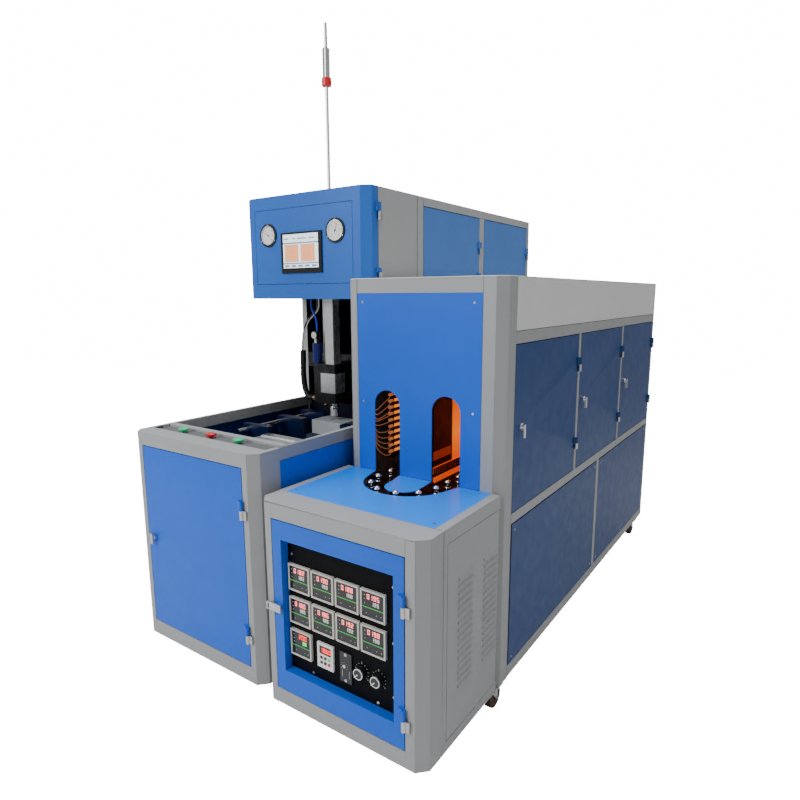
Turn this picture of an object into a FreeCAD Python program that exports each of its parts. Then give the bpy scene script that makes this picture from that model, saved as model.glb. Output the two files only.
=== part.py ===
"""Preform oven and stretch blow moulding unit, side by side: one solid or group of like solids per node."""

import FreeCAD, Part
import math
import os

Vector = FreeCAD.Vector

# ---- driving dimensions, millimetres -------------------------------------------------
# X runs to the right with the oven's right side at 0, Y to the back with its front at 0,
# Z up with the underside of both cabinets at 0.
SHEET = 3.0
PAN = 20.0
DOOR_GAP = 3.0
GROUND = -110.0

OVEN_LEFT = -620.0
OVEN_RIGHT = 0.0
OVEN_BACK = 2440.0
OVEN_TOP = 1364.0
TABLE_TOP = 684.0
TABLE_DEPTH = 446.0
TABLE_RIM = 96.0
CORNER = 31.0
FRONT_POST = 45.0

BLOW_LEFT = -1309.0
BLOW_RIGHT = -651.0
BACK_LEFT = -1333.0
BLOW_FRONT = 15.0
BLOW_TOP = 811.0
BACK_FRONT = 968.0
BACK_END = 2148.0
BACK_TOP = 1716.0
HEAD_FRONT = 631.0
HEAD_SPLIT = 692.0
HEAD_BOTTOM = 1292.0

CONTROL_DOOR = (-561.0, -65.0, 56.0, 628.0)
CONTROL_WINDOW = (-524.0, -101.0, 128.0, 568.0)
WINDOW_DEPTH = 30.0
METER = 88.0
METER_PITCH_X = 95.5
METER_PITCH_Z = 110.0
METER_FIRST = (-474.0, 443.0)

BLOW_DOOR = (-1250.0, -709.0, 61.0, 760.0)
SIDE_DOORS = ((532.0, 1138.0), (1168.0, 1774.0), (1804.0, 2410.0))
SIDE_DOOR_Z = (597.0, 1151.0)
LOWER_PANELS = ((540.0, 1465.0), (1505.0, 2405.0))
LOWER_PANEL_Z = (43.0, 557.0)
HOOD_BEAD = 1193.0
REAR_DOORS = ((1014.0, 1526.0), (1580.0, 2112.0))
REAR_DOOR_Z = (1380.0, 1675.0)

SLOT_TOP = 980.0
SLOTS = ((-492.0, -387.0), (-256.0, -149.0))
SLOT_PANEL = (-565.0, -75.0, 684.0, 1313.0)
CHANNEL_NOSE = ((-470.0, 360.0), (-322.0, 253.0), (-172.0, 360.0))
ISLAND_NOSE = ((-370.0, 360.0), (-305.0, 290.0), (-246.0, 352.0))

CHAIN_X = -321.0
CHAIN_RADIUS = 118.5
CHAIN_FRONT = 388.5
CHAIN_BACK = 2190.0
CHAIN_Z = 640.0
SPINDLES = 58
SPINDLE_RADIUS = 9.0
SPINDLE_BALL = 11.0
SPINDLE_HEIGHT = 44.0
LAMP_ROWS = 10
LAMP_PITCH = 24.0
LAMP_FIRST_Z = 728.0
LAMP_RADIUS = 5.0
LAMP_X = (-506.0, -138.0)
LAMP_SPANS = ((570.0, 1110.0), (1140.0, 1680.0), (1710.0, 2250.0))
TUNNEL_FRONT = 462.0

AXIS_X = -957.0
AXIS_Y = 760.0
ROD_RADIUS = 7.0
BORE_RADIUS = 7.3
ROD_TIP = 2375.0
MOULD_TOP = 762.0
MOULD_BOTTOM = 504.0
MOULD_HALF_WIDTH = 86.0
MOULD_DEPTH = 55.0
BOTTLE_RADIUS = 34.0
CLAMP_Z = 633.0
BAR_SPREAD_X = 230.0
BAR_SPREAD_Z = 110.0
BAR_RADIUS = 13.0
BAR_FIT = 0.08

WHEEL_RADIUS = 40.0
WHEEL_WIDTH = 28.0
AXLE_RADIUS = 5.0
AXLE_FIT = 0.08
CASTER_TRAIL = 28.0
FRONT_CASTERS = ((-545.0, 480.0), (-42.0, 480.0))
REAR_CASTERS = ((-545.0, 2330.0), (-42.0, 2330.0))
FEET = tuple((x, y) for x in (-1262.0, -698.0) for y in (300.0, 1150.0, 2060.0))

KNUCKLE_RADIUS = 7.0
PIN_RADIUS = 3.0
PIN_FIT = 0.06
BUTTONS = (("start_button_left", -1150.0), ("stop_button", -990.0), ("start_button_right", -843.0))
BUTTON_Y = 124.0
GAUGES = (-1190.0, -816.0)
GAUGE_Z = 1557.5
CONTROL_HINGES = ((122.0, 187.0), (462.0, 523.0))
SIDE_HINGES = ((686.0, 733.0), (1004.0, 1060.0))
FRONT_HINGE_Y = -KNUCKLE_RADIUS - 0.5
SIDE_HINGE_X = KNUCKLE_RADIUS + 0.5
KNOBS = ((-236.0, 218.0), (-174.0, 217.0))
KNOB_SHAFT = 3.0
LATCH = (-543.0, 342.0)
HANDLE_INSET = 45.0
HANDLE_Z = 882.0
HANDLE_SHAFT = 6.0
STRIP_FRONT = 89.0
STRIP_BACK = 160.0
BAY_FRONT = 188.0
RIM = 20.0
BLOW_LATCH = (-1214.0, 412.0)
BLOW_HINGES = ((151.0, 211.0), (590.0, 652.0))
BUTTON_STEM = 8.0
REAR_HINGES = ((1386.0, 1412.0), (1502.0, 1562.0))
HOOD_HINGES = ((1376.0, 1410.0), (1590.0, 1656.0))
HOOD_HINGE = (BLOW_RIGHT - 3.0 + 7.5, HEAD_SPLIT + 0.75)
INSTRUMENTS = (-1272.0, -731.0, 1353.0, 1662.0)
SCREEN = (-1112.0, -887.0, 1398.0, 1562.0)
PARTING = AXIS_Y
MOVING_FACE = PARTING - MOULD_DEPTH
FIXED_FACE = PARTING + MOULD_DEPTH
PLATEN = 40.0
NOZZLE_SHANK = 17.0
BLACK_HOSE = ((-1094.3, 775.0, 846.0), (-1122.0, 775.0, 846.0), (-1144.0, 775.0, 878.0), (-1152.0, 775.0, 925.0),
              (-1153.0, 775.0, 975.0), (-1150.0, 775.0, 1015.0), (-1150.0, 775.0, 1060.0))
CLEAR_HOSE = ((-1150.0, 775.0, 1060.3), (-1150.0, 775.0, 1090.0), (-1140.0, 775.0, 1150.0), (-1112.0, 775.0, 1200.0),
              (-1080.0, 777.0, 1222.0), (-1056.0, 780.0, 1250.0), (-1056.0, 780.0, 1291.7))
BLUE_TUBE = ((-1047.0, 760.0, 1149.3), (-1047.0, 760.0, 1185.0), (-1052.0, 757.0, 1215.0), (-1070.0, 752.0, 1250.0),
             (-1070.0, 752.0, 1291.7))
FILTER_X = -1047.0
FILTER_BASE = 1010.3
PEDAL_SETBACK = 27.0
PEDAL_Z = -33.0
PEDAL_PIN = 2.5


# ---- small shapes --------------------------------------------------------------------
def box(x0, x1, y0, y1, z0, z1):
    return Part.makeBox(x1 - x0, y1 - y0, z1 - z0, Vector(x0, y0, z0))


def cylinder(radius, start, direction, length):
    return Part.makeCylinder(radius, length, Vector(*start), Vector(*direction))


def cone(radius_a, radius_b, start, direction, length):
    return Part.makeCone(radius_a, radius_b, length, Vector(*start), Vector(*direction))


def polygon_face(points):
    return Part.Face(Part.makePolygon([Vector(*p) for p in points] + [Vector(*points[0])]))


def prism_z(points, z0, z1):
    return polygon_face([(x, y, z0) for x, y in points]).extrude(Vector(0, 0, z1 - z0))


def group(solids):
    return Part.makeCompound(solids)


def offset_path(path, distance):
    """Points of an open path moved to its left, mitred at the folds."""
    normals = []
    for (xa, ya), (xb, yb) in zip(path, path[1:]):
        length = math.hypot(xb - xa, yb - ya)
        normals.append(((ya - yb) / length, (xb - xa) / length))
    before = [normals[0]] + normals
    after = normals + [normals[-1]]
    moved = []
    for (x, y), (ax, ay), (bx, by) in zip(path, before, after):
        scale = distance / (1.0 + ax * bx + ay * by)
        moved.append((x + (ax + bx) * scale, y + (ay + by) * scale))
    return moved


def folded_sheet(path, z0, z1):
    """Upright sheet folded along an open path, its thickness on the path's left."""
    return prism_z(path + offset_path(path, SHEET)[::-1], z0, z1)


def rail(x0, x1, y0, y1, z0, z1):
    """Square tube along its longest side, with open ends."""
    sizes = (x1 - x0, y1 - y0, z1 - z0)
    along = sizes.index(max(sizes))
    low = [x0, y0, z0]
    high = [x1, y1, z1]
    for axis in range(3):
        if axis != along:
            low[axis] += SHEET
            high[axis] -= SHEET
    inner = box(low[0], high[0], low[1], high[1], low[2], high[2])
    return box(x0, x1, y0, y1, z0, z1).cut(inner)


def corner_posts(left, right, front, opening, side_depth, z0, z1):
    """The two chamfered sheet posts at the front of a cabinet."""
    inner_left, inner_right = opening
    left_post = [(left, front + side_depth), (left, front + CORNER), (left + CORNER, front),
                 (inner_left, front), (inner_left, front + FRONT_POST)]
    right_post = [(inner_right, front + FRONT_POST), (inner_right, front), (right - CORNER, front),
                  (right, front + CORNER), (right, front + side_depth)]
    return [folded_sheet(left_post, z0, z1), folded_sheet(right_post, z0, z1)]


def front_pan(x0, x1, z0, z1, front, depth):
    """Sheet pan facing -Y, open at its back."""
    shell = box(x0, x1, front, front + depth, z0, z1)
    hollow = box(x0 + SHEET, x1 - SHEET, front + SHEET, front + depth, z0 + SHEET, z1 - SHEET)
    return shell.cut(hollow)


def side_pan(face, y0, y1, z0, z1):
    """Sheet pan facing +X, open at its back."""
    shell = box(face - PAN, face, y0, y1, z0, z1)
    hollow = box(face - PAN, face - SHEET, y0 + SHEET, y1 - SHEET, z0 + SHEET, z1 - SHEET)
    return shell.cut(hollow)


def knuckle(x, y, z0, z1):
    """Hinge knuckle with the bore that its pin turns in."""
    barrel = cylinder(KNUCKLE_RADIUS, (x, y, z0), (0, 0, 1), z1 - z0)
    return barrel.cut(cylinder(PIN_RADIUS + PIN_FIT, (x, y, z0), (0, 0, 1), z1 - z0))


def fixed_hinge(x, y, z0, z1, leaf):
    """Lower knuckle, its leaf and the pin that stands up into the door's knuckle."""
    middle = (z0 + z1) / 2.0
    barrel = cylinder(KNUCKLE_RADIUS, (x, y, z0), (0, 0, 1), middle - z0)
    pin = cylinder(PIN_RADIUS, (x, y, z0), (0, 0, 1), z1 - z0 - 2.0)
    return barrel.fuse(pin).fuse(box(*leaf, z0, middle)).removeSplitter()


def door_hinge(x, y, z0, z1, leaf):
    """Upper knuckle and its leaf, which turn with the door."""
    middle = (z0 + z1) / 2.0 + 0.5
    bore = cylinder(PIN_RADIUS + PIN_FIT, (x, y, middle), (0, 0, 1), z1 - middle)
    return knuckle(x, y, middle, z1).fuse(box(*leaf, middle, z1).cut(bore)).removeSplitter()


# ---- oven unit -----------------------------------------------------------------------
def oven_frame():
    """Folded corner posts, square rails and plain sheets of the oven's grey carcass."""
    parts = corner_posts(OVEN_LEFT, OVEN_RIGHT, 0.0, (-564.0, -62.0), TABLE_RIM, 0.0, TABLE_TOP - SHEET)
    parts += corner_posts(OVEN_LEFT, OVEN_RIGHT, TABLE_DEPTH, (-565.0, -75.0), 84.0, 0.0, OVEN_TOP - SHEET)
    parts.append(rail(-564.0, -62.0, 0.0, FRONT_POST, 0.0, 53.0))
    parts.append(rail(-564.0, -62.0, 0.0, FRONT_POST, 631.0, TABLE_TOP - SHEET))
    parts.append(rail(-565.0, -75.0, TABLE_DEPTH, TABLE_DEPTH + 40.0, 1313.0, OVEN_TOP - SHEET))
    rim = [(OVEN_LEFT, CORNER), (OVEN_LEFT + CORNER, 0.0), (OVEN_RIGHT - CORNER, 0.0), (OVEN_RIGHT, CORNER),
           (OVEN_RIGHT, TABLE_RIM), (OVEN_LEFT, TABLE_RIM)]
    parts.append(prism_z(rim, TABLE_TOP - SHEET, TABLE_TOP))
    for x0, x1 in ((OVEN_LEFT, -594.0), (-31.0, OVEN_RIGHT)):
        parts.append(rail(x0, x1, TABLE_RIM, TABLE_DEPTH, 640.0, TABLE_TOP))
        parts.append(rail(x0, x1, TABLE_RIM, TABLE_DEPTH, 0.0, 35.0))
        parts.append(rail(x0, x1, TABLE_RIM, 117.0, 35.0, 640.0))
    for x0, x1 in ((OVEN_LEFT, OVEN_LEFT + 30.0), (-30.0, OVEN_RIGHT)):
        parts += oven_side_rails(x0, x1)
    parts.append(box(OVEN_LEFT, OVEN_RIGHT, OVEN_BACK - SHEET, OVEN_BACK, 0.0, OVEN_TOP - SHEET))
    parts.append(box(OVEN_LEFT, OVEN_LEFT + SHEET, 530.0, OVEN_BACK - SHEET, 43.0, HOOD_BEAD))
    parts.append(box(-589.0, -31.0, 50.0, TABLE_DEPTH, 0.0, SHEET))
    parts.append(box(-589.0, -31.0, 492.0, OVEN_BACK - SHEET, 0.0, SHEET))
    return group(parts)


def oven_side_rails(x0, x1):
    """Rails and stiles of one long side."""
    parts = [rail(x0, x1, 530.0, OVEN_BACK - SHEET, 0.0, LOWER_PANEL_Z[0])]
    inner = x0 if x1 == OVEN_RIGHT else x0 + SHEET
    parts.append(rail(inner, x1, 530.0, OVEN_BACK - SHEET, 560.0, 594.0))
    parts.append(rail(inner, x1, 530.0, OVEN_BACK - SHEET, 1154.0, HOOD_BEAD))
    for y0, y1 in ((1141.0, 1165.0), (1777.0, 1801.0), (2413.0, OVEN_BACK - SHEET)):
        parts.append(rail(inner, x1, y0, y1, 594.0, 1154.0))
    for y0, y1 in ((1468.0, 1502.0), (2408.0, OVEN_BACK - SHEET)):
        parts.append(rail(inner, x1, y0, y1, 43.0, 560.0))
    return parts


def oven_hood():
    """Roof sheet and the flush covers above the bead line."""
    roof_outline = [(OVEN_LEFT, TABLE_DEPTH + CORNER), (OVEN_LEFT + CORNER, TABLE_DEPTH),
                    (OVEN_RIGHT - CORNER, TABLE_DEPTH), (OVEN_RIGHT, TABLE_DEPTH + CORNER),
                    (OVEN_RIGHT, OVEN_BACK), (OVEN_LEFT, OVEN_BACK)]
    roof = prism_z(roof_outline, OVEN_TOP - SHEET, OVEN_TOP)
    covers = [box(x, x + SHEET, 533.0, OVEN_BACK - SHEET, HOOD_BEAD + 2.0, OVEN_TOP - SHEET)
              for x in (OVEN_LEFT, OVEN_RIGHT - SHEET)]
    return group([roof] + covers)


def louvre_panels():
    """Side sheets of the low cabinet, pressed with two columns of louvres."""
    sheets = []
    for face, out in ((OVEN_RIGHT, 1.0), (OVEN_LEFT, -1.0)):
        inner = face - out * SHEET
        sheet = box(min(face, inner), max(face, inner), 118.5, 438.0, 36.5, 638.5)
        for y0, y1 in ((180.0, 266.0), (338.0, 430.0)):
            for index in range(16):
                z = 168.0 + 22.5 * index
                slit = box(min(face, inner) - 1.0, max(face, inner) + 1.0, y0 + 2.0, y1 - 2.0, z, z + 5.0)
                lip = polygon_face([(face, y0, z + 5.0), (face + out * 5.0, y0, z + 2.0),
                                    (face + out * 5.0, y0, z + 4.0), (face, y0, z + 12.0)])
                sheet = sheet.cut(slit).fuse(lip.extrude(Vector(0, y1 - y0, 0)))
        sheets.append(sheet)
    return group(sheets)


def tongue(nose, left_end, right_end, y_end, z0, z1):
    """Flat tongue whose round nose runs through three points, its flanks straight back to y_end."""
    left, tip, right = [Vector(x, y, z0) for x, y in nose]
    back = [right, Vector(right_end, y_end, z0), Vector(left_end, y_end, z0), left]
    outline = Part.Wire([Part.Arc(left, tip, right).toShape()] + Part.makePolygon(back).Edges)
    return Part.Face(outline).extrude(Vector(0, 0, z1 - z0))


def table_plate():
    """Blue table top with its U-shaped channel, and the island inside the channel."""
    low = TABLE_TOP - SHEET
    plate = box(-594.0, -31.0, TABLE_RIM, TABLE_DEPTH, low, TABLE_TOP)
    outer, inner = (SLOTS[0][0], SLOTS[1][1]), (SLOTS[0][1], SLOTS[1][0])
    plate = plate.cut(tongue(CHANNEL_NOSE, *outer, TABLE_DEPTH + 1.0, low - 1.0, TABLE_TOP + 1.0))
    island = tongue(ISLAND_NOSE, *inner, TABLE_DEPTH, low, TABLE_TOP)
    return group([plate, island])


def oven_panels():
    """Slotted front plate and the screwed-on lower covers of both sides."""
    x0, x1, z0, z1 = SLOT_PANEL
    front = box(x0, x1, TABLE_DEPTH, TABLE_DEPTH + SHEET, z0, z1)
    for left, right in SLOTS:
        radius = (right - left) / 2.0
        middle = (left + right) / 2.0
        hole = box(left, right, TABLE_DEPTH - 1.0, TABLE_DEPTH + 10.0, z0 - 1.0, SLOT_TOP - radius)
        arch = cylinder(radius, (middle, TABLE_DEPTH - 1.0, SLOT_TOP - radius), (0, 1, 0), 11.0)
        front = front.cut(hole.fuse(arch))
    parts = [front]
    for y0, y1 in LOWER_PANELS:
        parts.append(box(-SHEET, OVEN_RIGHT, y0, y1, LOWER_PANEL_Z[0] + 2.0, LOWER_PANEL_Z[1] - 2.0))
    return group(parts)


def conveyor_bed():
    """Front and rear plates, two straight tracks, cross bars and the island's post."""
    z0, z1 = CHAIN_Z - 10.0, CHAIN_Z - 0.5
    left, right = CHAIN_X - CHAIN_RADIUS, CHAIN_X + CHAIN_RADIUS
    parts = [box(left - 60.0, right + 60.0, 230.0, 480.0, z0, z1),
             box(left - 30.0, right + 30.0, 2180.0, 2340.0, z0, z1)]
    parts += [box(x - 30.0, x + 30.0, 480.0, 2180.0, z0, z1) for x in (left, right)]
    for y in (500.0, 1300.0, 2200.0):
        parts.append(rail(OVEN_LEFT + 31.0, -31.0, y, y + 30.0, z0 - 30.0, z0))
    parts.append(rail(-355.0, -288.0, 340.0, 440.0, z1, TABLE_TOP - SHEET))
    return group(parts)


def chain_ring(half_width, z0, z1):
    """Oval band that follows the chain's pitch line."""
    def oval(radius):
        middle = box(CHAIN_X - radius, CHAIN_X + radius, CHAIN_FRONT, CHAIN_BACK, z0, z1)
        ends = [cylinder(radius, (CHAIN_X, y, z0), (0, 0, 1), z1 - z0) for y in (CHAIN_FRONT, CHAIN_BACK)]
        return middle.fuse(ends[0]).fuse(ends[1]).removeSplitter()
    return oval(CHAIN_RADIUS + half_width).cut(oval(CHAIN_RADIUS - half_width))


def chain_point(distance):
    """Point of the pitch line at a distance along it."""
    straight = CHAIN_BACK - CHAIN_FRONT
    arc = math.pi * CHAIN_RADIUS
    distance %= 2.0 * (straight + arc)
    if distance < straight:
        return CHAIN_X - CHAIN_RADIUS, CHAIN_BACK - distance
    distance -= straight
    if distance < arc:
        turn = math.pi + distance / CHAIN_RADIUS
        return CHAIN_X + CHAIN_RADIUS * math.cos(turn), CHAIN_FRONT + CHAIN_RADIUS * math.sin(turn)
    distance -= arc
    if distance < straight:
        return CHAIN_X + CHAIN_RADIUS, CHAIN_FRONT + distance
    turn = (distance - straight) / CHAIN_RADIUS
    return CHAIN_X + CHAIN_RADIUS * math.cos(turn), CHAIN_BACK + CHAIN_RADIUS * math.sin(turn)


def preform_spindles():
    """Ball-topped spindles carried round by the chain."""
    length = 2.0 * (CHAIN_BACK - CHAIN_FRONT) + 2.0 * math.pi * CHAIN_RADIUS
    top = CHAIN_Z + 12.0
    spindles = []
    for index in range(SPINDLES):
        x, y = chain_point(length * index / SPINDLES)
        middle = SPINDLE_HEIGHT - SPINDLE_BALL
        stem = cylinder(SPINDLE_RADIUS, (x, y, top), (0, 0, 1), middle)
        flange = cylinder(SPINDLE_BALL + 2.0, (x, y, top + 14.0), (0, 0, 1), 4.0)
        ball = Part.makeSphere(SPINDLE_BALL, Vector(x, y, top + middle))
        spindles.append(stem.fuse(flange).fuse(ball))
    return group(spindles)


def lamp_housings():
    """Reflector walls beside both tracks, and the dark walls that face them."""
    parts = []
    z0, z1 = 700.0, 984.0
    for y0, y1 in LAMP_SPANS:
        parts.append(box(-522.0, -512.0, y0, y1, z0, z1))
        parts.append(box(-132.0, -122.0, y0, y1, z0, z1))
        near = TUNNEL_FRONT if y0 == LAMP_SPANS[0][0] else y0
        parts.append(box(-386.0, -382.0, near, y1, z0, z1))
        parts.append(box(-262.0, -258.0, near, y1, z0, z1))
        parts += [box(x - 6.0, x + 6.0, y, y + 4.0, z0, z1) for x in LAMP_X for y in (y0, y1 - 4.0)]
    for x0, x1 in ((OVEN_LEFT + 31.0, -522.0), (-122.0, -31.0)):
        parts += [rail(x0, x1, y, y + 20.0, 1000.0, 1020.0) for y in (600.0, 2000.0)]
    parts += [box(-522.0, -512.0, y, y + 20.0, 984.0, 1020.0) for y in (600.0, 2000.0)]
    parts += [box(-132.0, -122.0, y, y + 20.0, 984.0, 1020.0) for y in (600.0, 2000.0)]
    parts += [rail(-512.0, -132.0, y, y + 20.0, 1000.0, 1020.0) for y in (600.0, 2000.0)]
    parts += [box(x, x + 4.0, y, y + 20.0, 984.0, 1000.0) for x in (-386.0, -262.0) for y in (600.0, 2000.0)]
    return group(parts)


def quartz_lamps():
    """Rows of straight lamp tubes in front of the reflectors."""
    lamps = []
    for x in LAMP_X:
        for y0, y1 in LAMP_SPANS:
            for row in range(LAMP_ROWS):
                z = LAMP_FIRST_Z + LAMP_PITCH * row
                lamps.append(cylinder(LAMP_RADIUS, (x, y0 + 4.0, z), (0, 1, 0), y1 - y0 - 8.0))
    return group(lamps)


# ---- oven doors ----------------------------------------------------------------------
def control_door():
    """Blue door with a deep window, folded round its opening."""
    x0, x1, z0, z1 = CONTROL_DOOR
    wx0, wx1, wz0, wz1 = CONTROL_WINDOW
    ring = box(x0, x1, 0.0, WINDOW_DEPTH, z0, z1).cut(box(wx0, wx1, -1.0, WINDOW_DEPTH + 1.0, wz0, wz1))
    pocket = box(x0 + SHEET, x1 - SHEET, SHEET, WINDOW_DEPTH, z0 + SHEET, z1 - SHEET)
    pocket = pocket.cut(box(wx0 - SHEET, wx1 + SHEET, 0.0, WINDOW_DEPTH + 1.0, wz0 - SHEET, wz1 + SHEET))
    door = ring.cut(pocket)
    for hz0, hz1 in CONTROL_HINGES:
        leaf = (x1 - 18.0, x1 + 1.5, FRONT_HINGE_Y, 0.0)
        door = door.fuse(door_hinge(x1 + 1.5, FRONT_HINGE_Y, hz0, hz1, leaf))
    return door.removeSplitter()


def control_panel():
    """Black instrument plate behind the door's window, drilled for the two knobs."""
    wx0, wx1, wz0, wz1 = CONTROL_WINDOW
    plate = box(wx0 - 14.0, wx1 + 14.0, WINDOW_DEPTH, WINDOW_DEPTH + SHEET, wz0 - 14.0, wz1 + 14.0)
    for x, z in KNOBS:
        plate = plate.cut(cylinder(KNOB_SHAFT + 0.08, (x, 0.0, z), (0, 1, 0), 60.0))
    return plate


def meter(x, z):
    """Panel meter: square bezel with a sunk face and a body behind the plate."""
    half = METER / 2.0
    bezel = box(x - half, x + half, WINDOW_DEPTH - 9.0, WINDOW_DEPTH, z - half, z + half)
    face = box(x - half + 6.0, x + half - 6.0, WINDOW_DEPTH - 10.0, WINDOW_DEPTH - 7.0, z - half + 6.0, z + half - 6.0)
    return bezel.cut(face)


def panel_instruments():
    """Two rows of four meters, one more below them, a small counter and a slim power regulator."""
    x, z = METER_FIRST
    places = [(x + METER_PITCH_X * column, z - METER_PITCH_Z * row) for row in range(2) for column in range(4)]
    places.append((x, z - METER_PITCH_Z * 2.0))
    counter = box(-406.0, -342.0, WINDOW_DEPTH - 8.0, WINDOW_DEPTH, 176.0, 258.0)
    regulator = box(-317.0, -272.0, WINDOW_DEPTH - 6.0, WINDOW_DEPTH, 160.0, 258.0)
    return group([meter(*place) for place in places] + [counter, regulator])


def control_knob(place):
    """Round skirt, pointer bar and the shaft through the instrument plate."""
    x, z = place
    front = WINDOW_DEPTH - 6.0
    skirt = cylinder(19.0, (x, front, z), (0, 1, 0), 5.5)
    cap = cylinder(14.0, (x, front - 8.0, z), (0, 1, 0), 8.0)
    pointer = box(x - 3.5, x + 3.5, front - 16.0, front - 7.0, z - 18.0, z + 18.0)
    pointer.rotate(Vector(x, 0, z), Vector(0, 1, 0), 40.0)
    shaft = cylinder(KNOB_SHAFT, (x, front, z), (0, 1, 0), 24.0)
    return skirt.fuse(cap).fuse(pointer).fuse(shaft).removeSplitter()


def control_latch():
    """Flat turn latch whose end lies over the frame."""
    x, z = LATCH
    bar = box(x - 42.0, x + 20.0, -14.0, -9.0, z - 13.0, z + 13.0)
    bar = bar.cut(box(x - 36.0, x - 30.0, -15.0, -8.0, z - 8.0, z + 8.0))
    hub = cylinder(11.0, (x, -9.0, z), (0, 1, 0), 8.7)
    return bar.fuse(hub).removeSplitter()


def side_door(y0, y1):
    """Pan door with a window-free sheet, a hole for its handle and two hinge knuckles."""
    z0, z1 = SIDE_DOOR_Z
    door = side_pan(OVEN_RIGHT, y0, y1, z0, z1)
    door = door.cut(cylinder(HANDLE_SHAFT + 0.08, (-30.0, y0 + HANDLE_INSET, HANDLE_Z), (1, 0, 0), 40.0))
    for hz0, hz1 in SIDE_HINGES:
        leaf = (OVEN_RIGHT, SIDE_HINGE_X, y1 - 18.0, y1 + 1.5)
        door = door.fuse(door_hinge(SIDE_HINGE_X, y1 + 1.5, hz0, hz1, leaf))
    return door.removeSplitter()


def side_handle(y0):
    """Cam handle: oval boss, hanging lever and the shaft through the door."""
    y = y0 + HANDLE_INSET
    boss = cylinder(13.0, (0.4, y, HANDLE_Z), (1, 0, 0), 8.0)
    neck = cylinder(8.0, (8.0, y, HANDLE_Z), (1, 0, 0), 9.0)
    lever = box(12.0, 19.0, y - 7.0, y + 7.0, HANDLE_Z - 36.0, HANDLE_Z + 8.0)
    shaft = cylinder(HANDLE_SHAFT, (-16.0, y, HANDLE_Z), (1, 0, 0), 17.0)
    return boss.fuse(neck).fuse(lever).fuse(shaft).removeSplitter()


# ---- blow unit -----------------------------------------------------------------------
def blow_frame():
    """Grey carcass of the low front part: posts, rails, rim, button channel and floor."""
    opening = (BLOW_DOOR[0] - DOOR_GAP, BLOW_DOOR[1] + DOOR_GAP)
    top = BLOW_TOP - SHEET
    front = BLOW_FRONT
    parts = corner_posts(BLOW_LEFT, BLOW_RIGHT, front, opening, 117.0, 0.0, top)
    parts.append(rail(opening[0], opening[1], front, front + FRONT_POST, 0.0, BLOW_DOOR[2] - DOOR_GAP))
    parts.append(rail(opening[0], opening[1], front, front + FRONT_POST, BLOW_DOOR[3] + DOOR_GAP, top))
    rim = [(BLOW_LEFT, front + CORNER), (BLOW_LEFT + CORNER, front), (BLOW_RIGHT - CORNER, front),
           (BLOW_RIGHT, front + CORNER), (BLOW_RIGHT, STRIP_FRONT), (BLOW_LEFT, STRIP_FRONT)]
    parts.append(prism_z(rim, top, BLOW_TOP))
    holes = [cylinder(BUTTON_STEM + 0.1, (x, BUTTON_Y, top - 40.0), (0, 0, 1), 60.0) for _, x in BUTTONS]
    channel = box(BLOW_LEFT + RIM, BLOW_RIGHT - RIM, STRIP_FRONT, STRIP_BACK, top - 9.0, BLOW_TOP - 9.0)
    parts.append(channel.cut(group(holes)))
    parts.append(box(BLOW_LEFT + RIM, BLOW_RIGHT - RIM, STRIP_BACK, BAY_FRONT, top - 9.0, BLOW_TOP))
    for x0, x1 in ((BLOW_LEFT, BLOW_LEFT + RIM), (BLOW_RIGHT - RIM, BLOW_RIGHT)):
        parts.append(box(x0, x1, STRIP_FRONT, front + 117.0, top, BLOW_TOP))
        parts.append(rail(x0, x1, front + 117.0, BACK_FRONT, 768.0, BLOW_TOP))
        parts.append(rail(x0, x1, front + 117.0, BACK_FRONT, 0.0, 40.0))
    parts.append(box(BLOW_LEFT + RIM, BLOW_RIGHT - RIM, front + 50.0, BACK_FRONT, 0.0, SHEET))
    return group(parts)


def blow_panels():
    """Blue side sheets of the low part, one on each side."""
    return group([box(x, x + SHEET, BLOW_FRONT + 118.0, BACK_FRONT - 2.0, 42.0, 766.0)
                  for x in (BLOW_LEFT, BLOW_RIGHT - SHEET)])


def blow_door():
    """Plain blue pan door with its hinge knuckles."""
    x0, x1, z0, z1 = BLOW_DOOR
    door = front_pan(x0, x1, z0, z1, BLOW_FRONT, PAN)
    door = door.cut(cylinder(HANDLE_SHAFT + 0.08, (BLOW_LATCH[0], 0.0, BLOW_LATCH[1]), (0, 1, 0), 60.0))
    for hz0, hz1 in BLOW_HINGES:
        leaf = (x1 - 18.0, x1 + 1.5, BLOW_FRONT + FRONT_HINGE_Y, BLOW_FRONT)
        door = door.fuse(door_hinge(x1 + 1.5, BLOW_FRONT + FRONT_HINGE_Y, hz0, hz1, leaf))
    return door.removeSplitter()


def blow_door_handle():
    """Oval cam handle with its shaft."""
    x, z = BLOW_LATCH
    front = BLOW_FRONT - 0.4
    boss = cylinder(12.0, (x, front - 10.0, z), (0, 1, 0), 10.0)
    lever = box(x - 8.0, x + 8.0, front - 18.0, front - 8.0, z - 24.0, z + 16.0)
    shaft = cylinder(HANDLE_SHAFT, (x, front - 1.0, z), (0, 1, 0), 17.0)
    return boss.fuse(lever).fuse(shaft).removeSplitter()


def push_button(x):
    """Mushroom head on a plunger that slides in the channel plate."""
    seat = BLOW_TOP - 9.0
    stem = cylinder(BUTTON_STEM, (x, BUTTON_Y, seat - 24.0), (0, 0, 1), 32.0)
    neck = cone(10.5, 20.0, (x, BUTTON_Y, seat + 6.0), (0, 0, 1), 4.0)
    head = cylinder(20.0, (x, BUTTON_Y, seat + 10.0), (0, 0, 1), 5.0)
    crown = cone(20.0, 15.0, (x, BUTTON_Y, seat + 15.0), (0, 0, 1), 3.0)
    return stem.fuse(neck).fuse(head).fuse(crown).removeSplitter()


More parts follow.
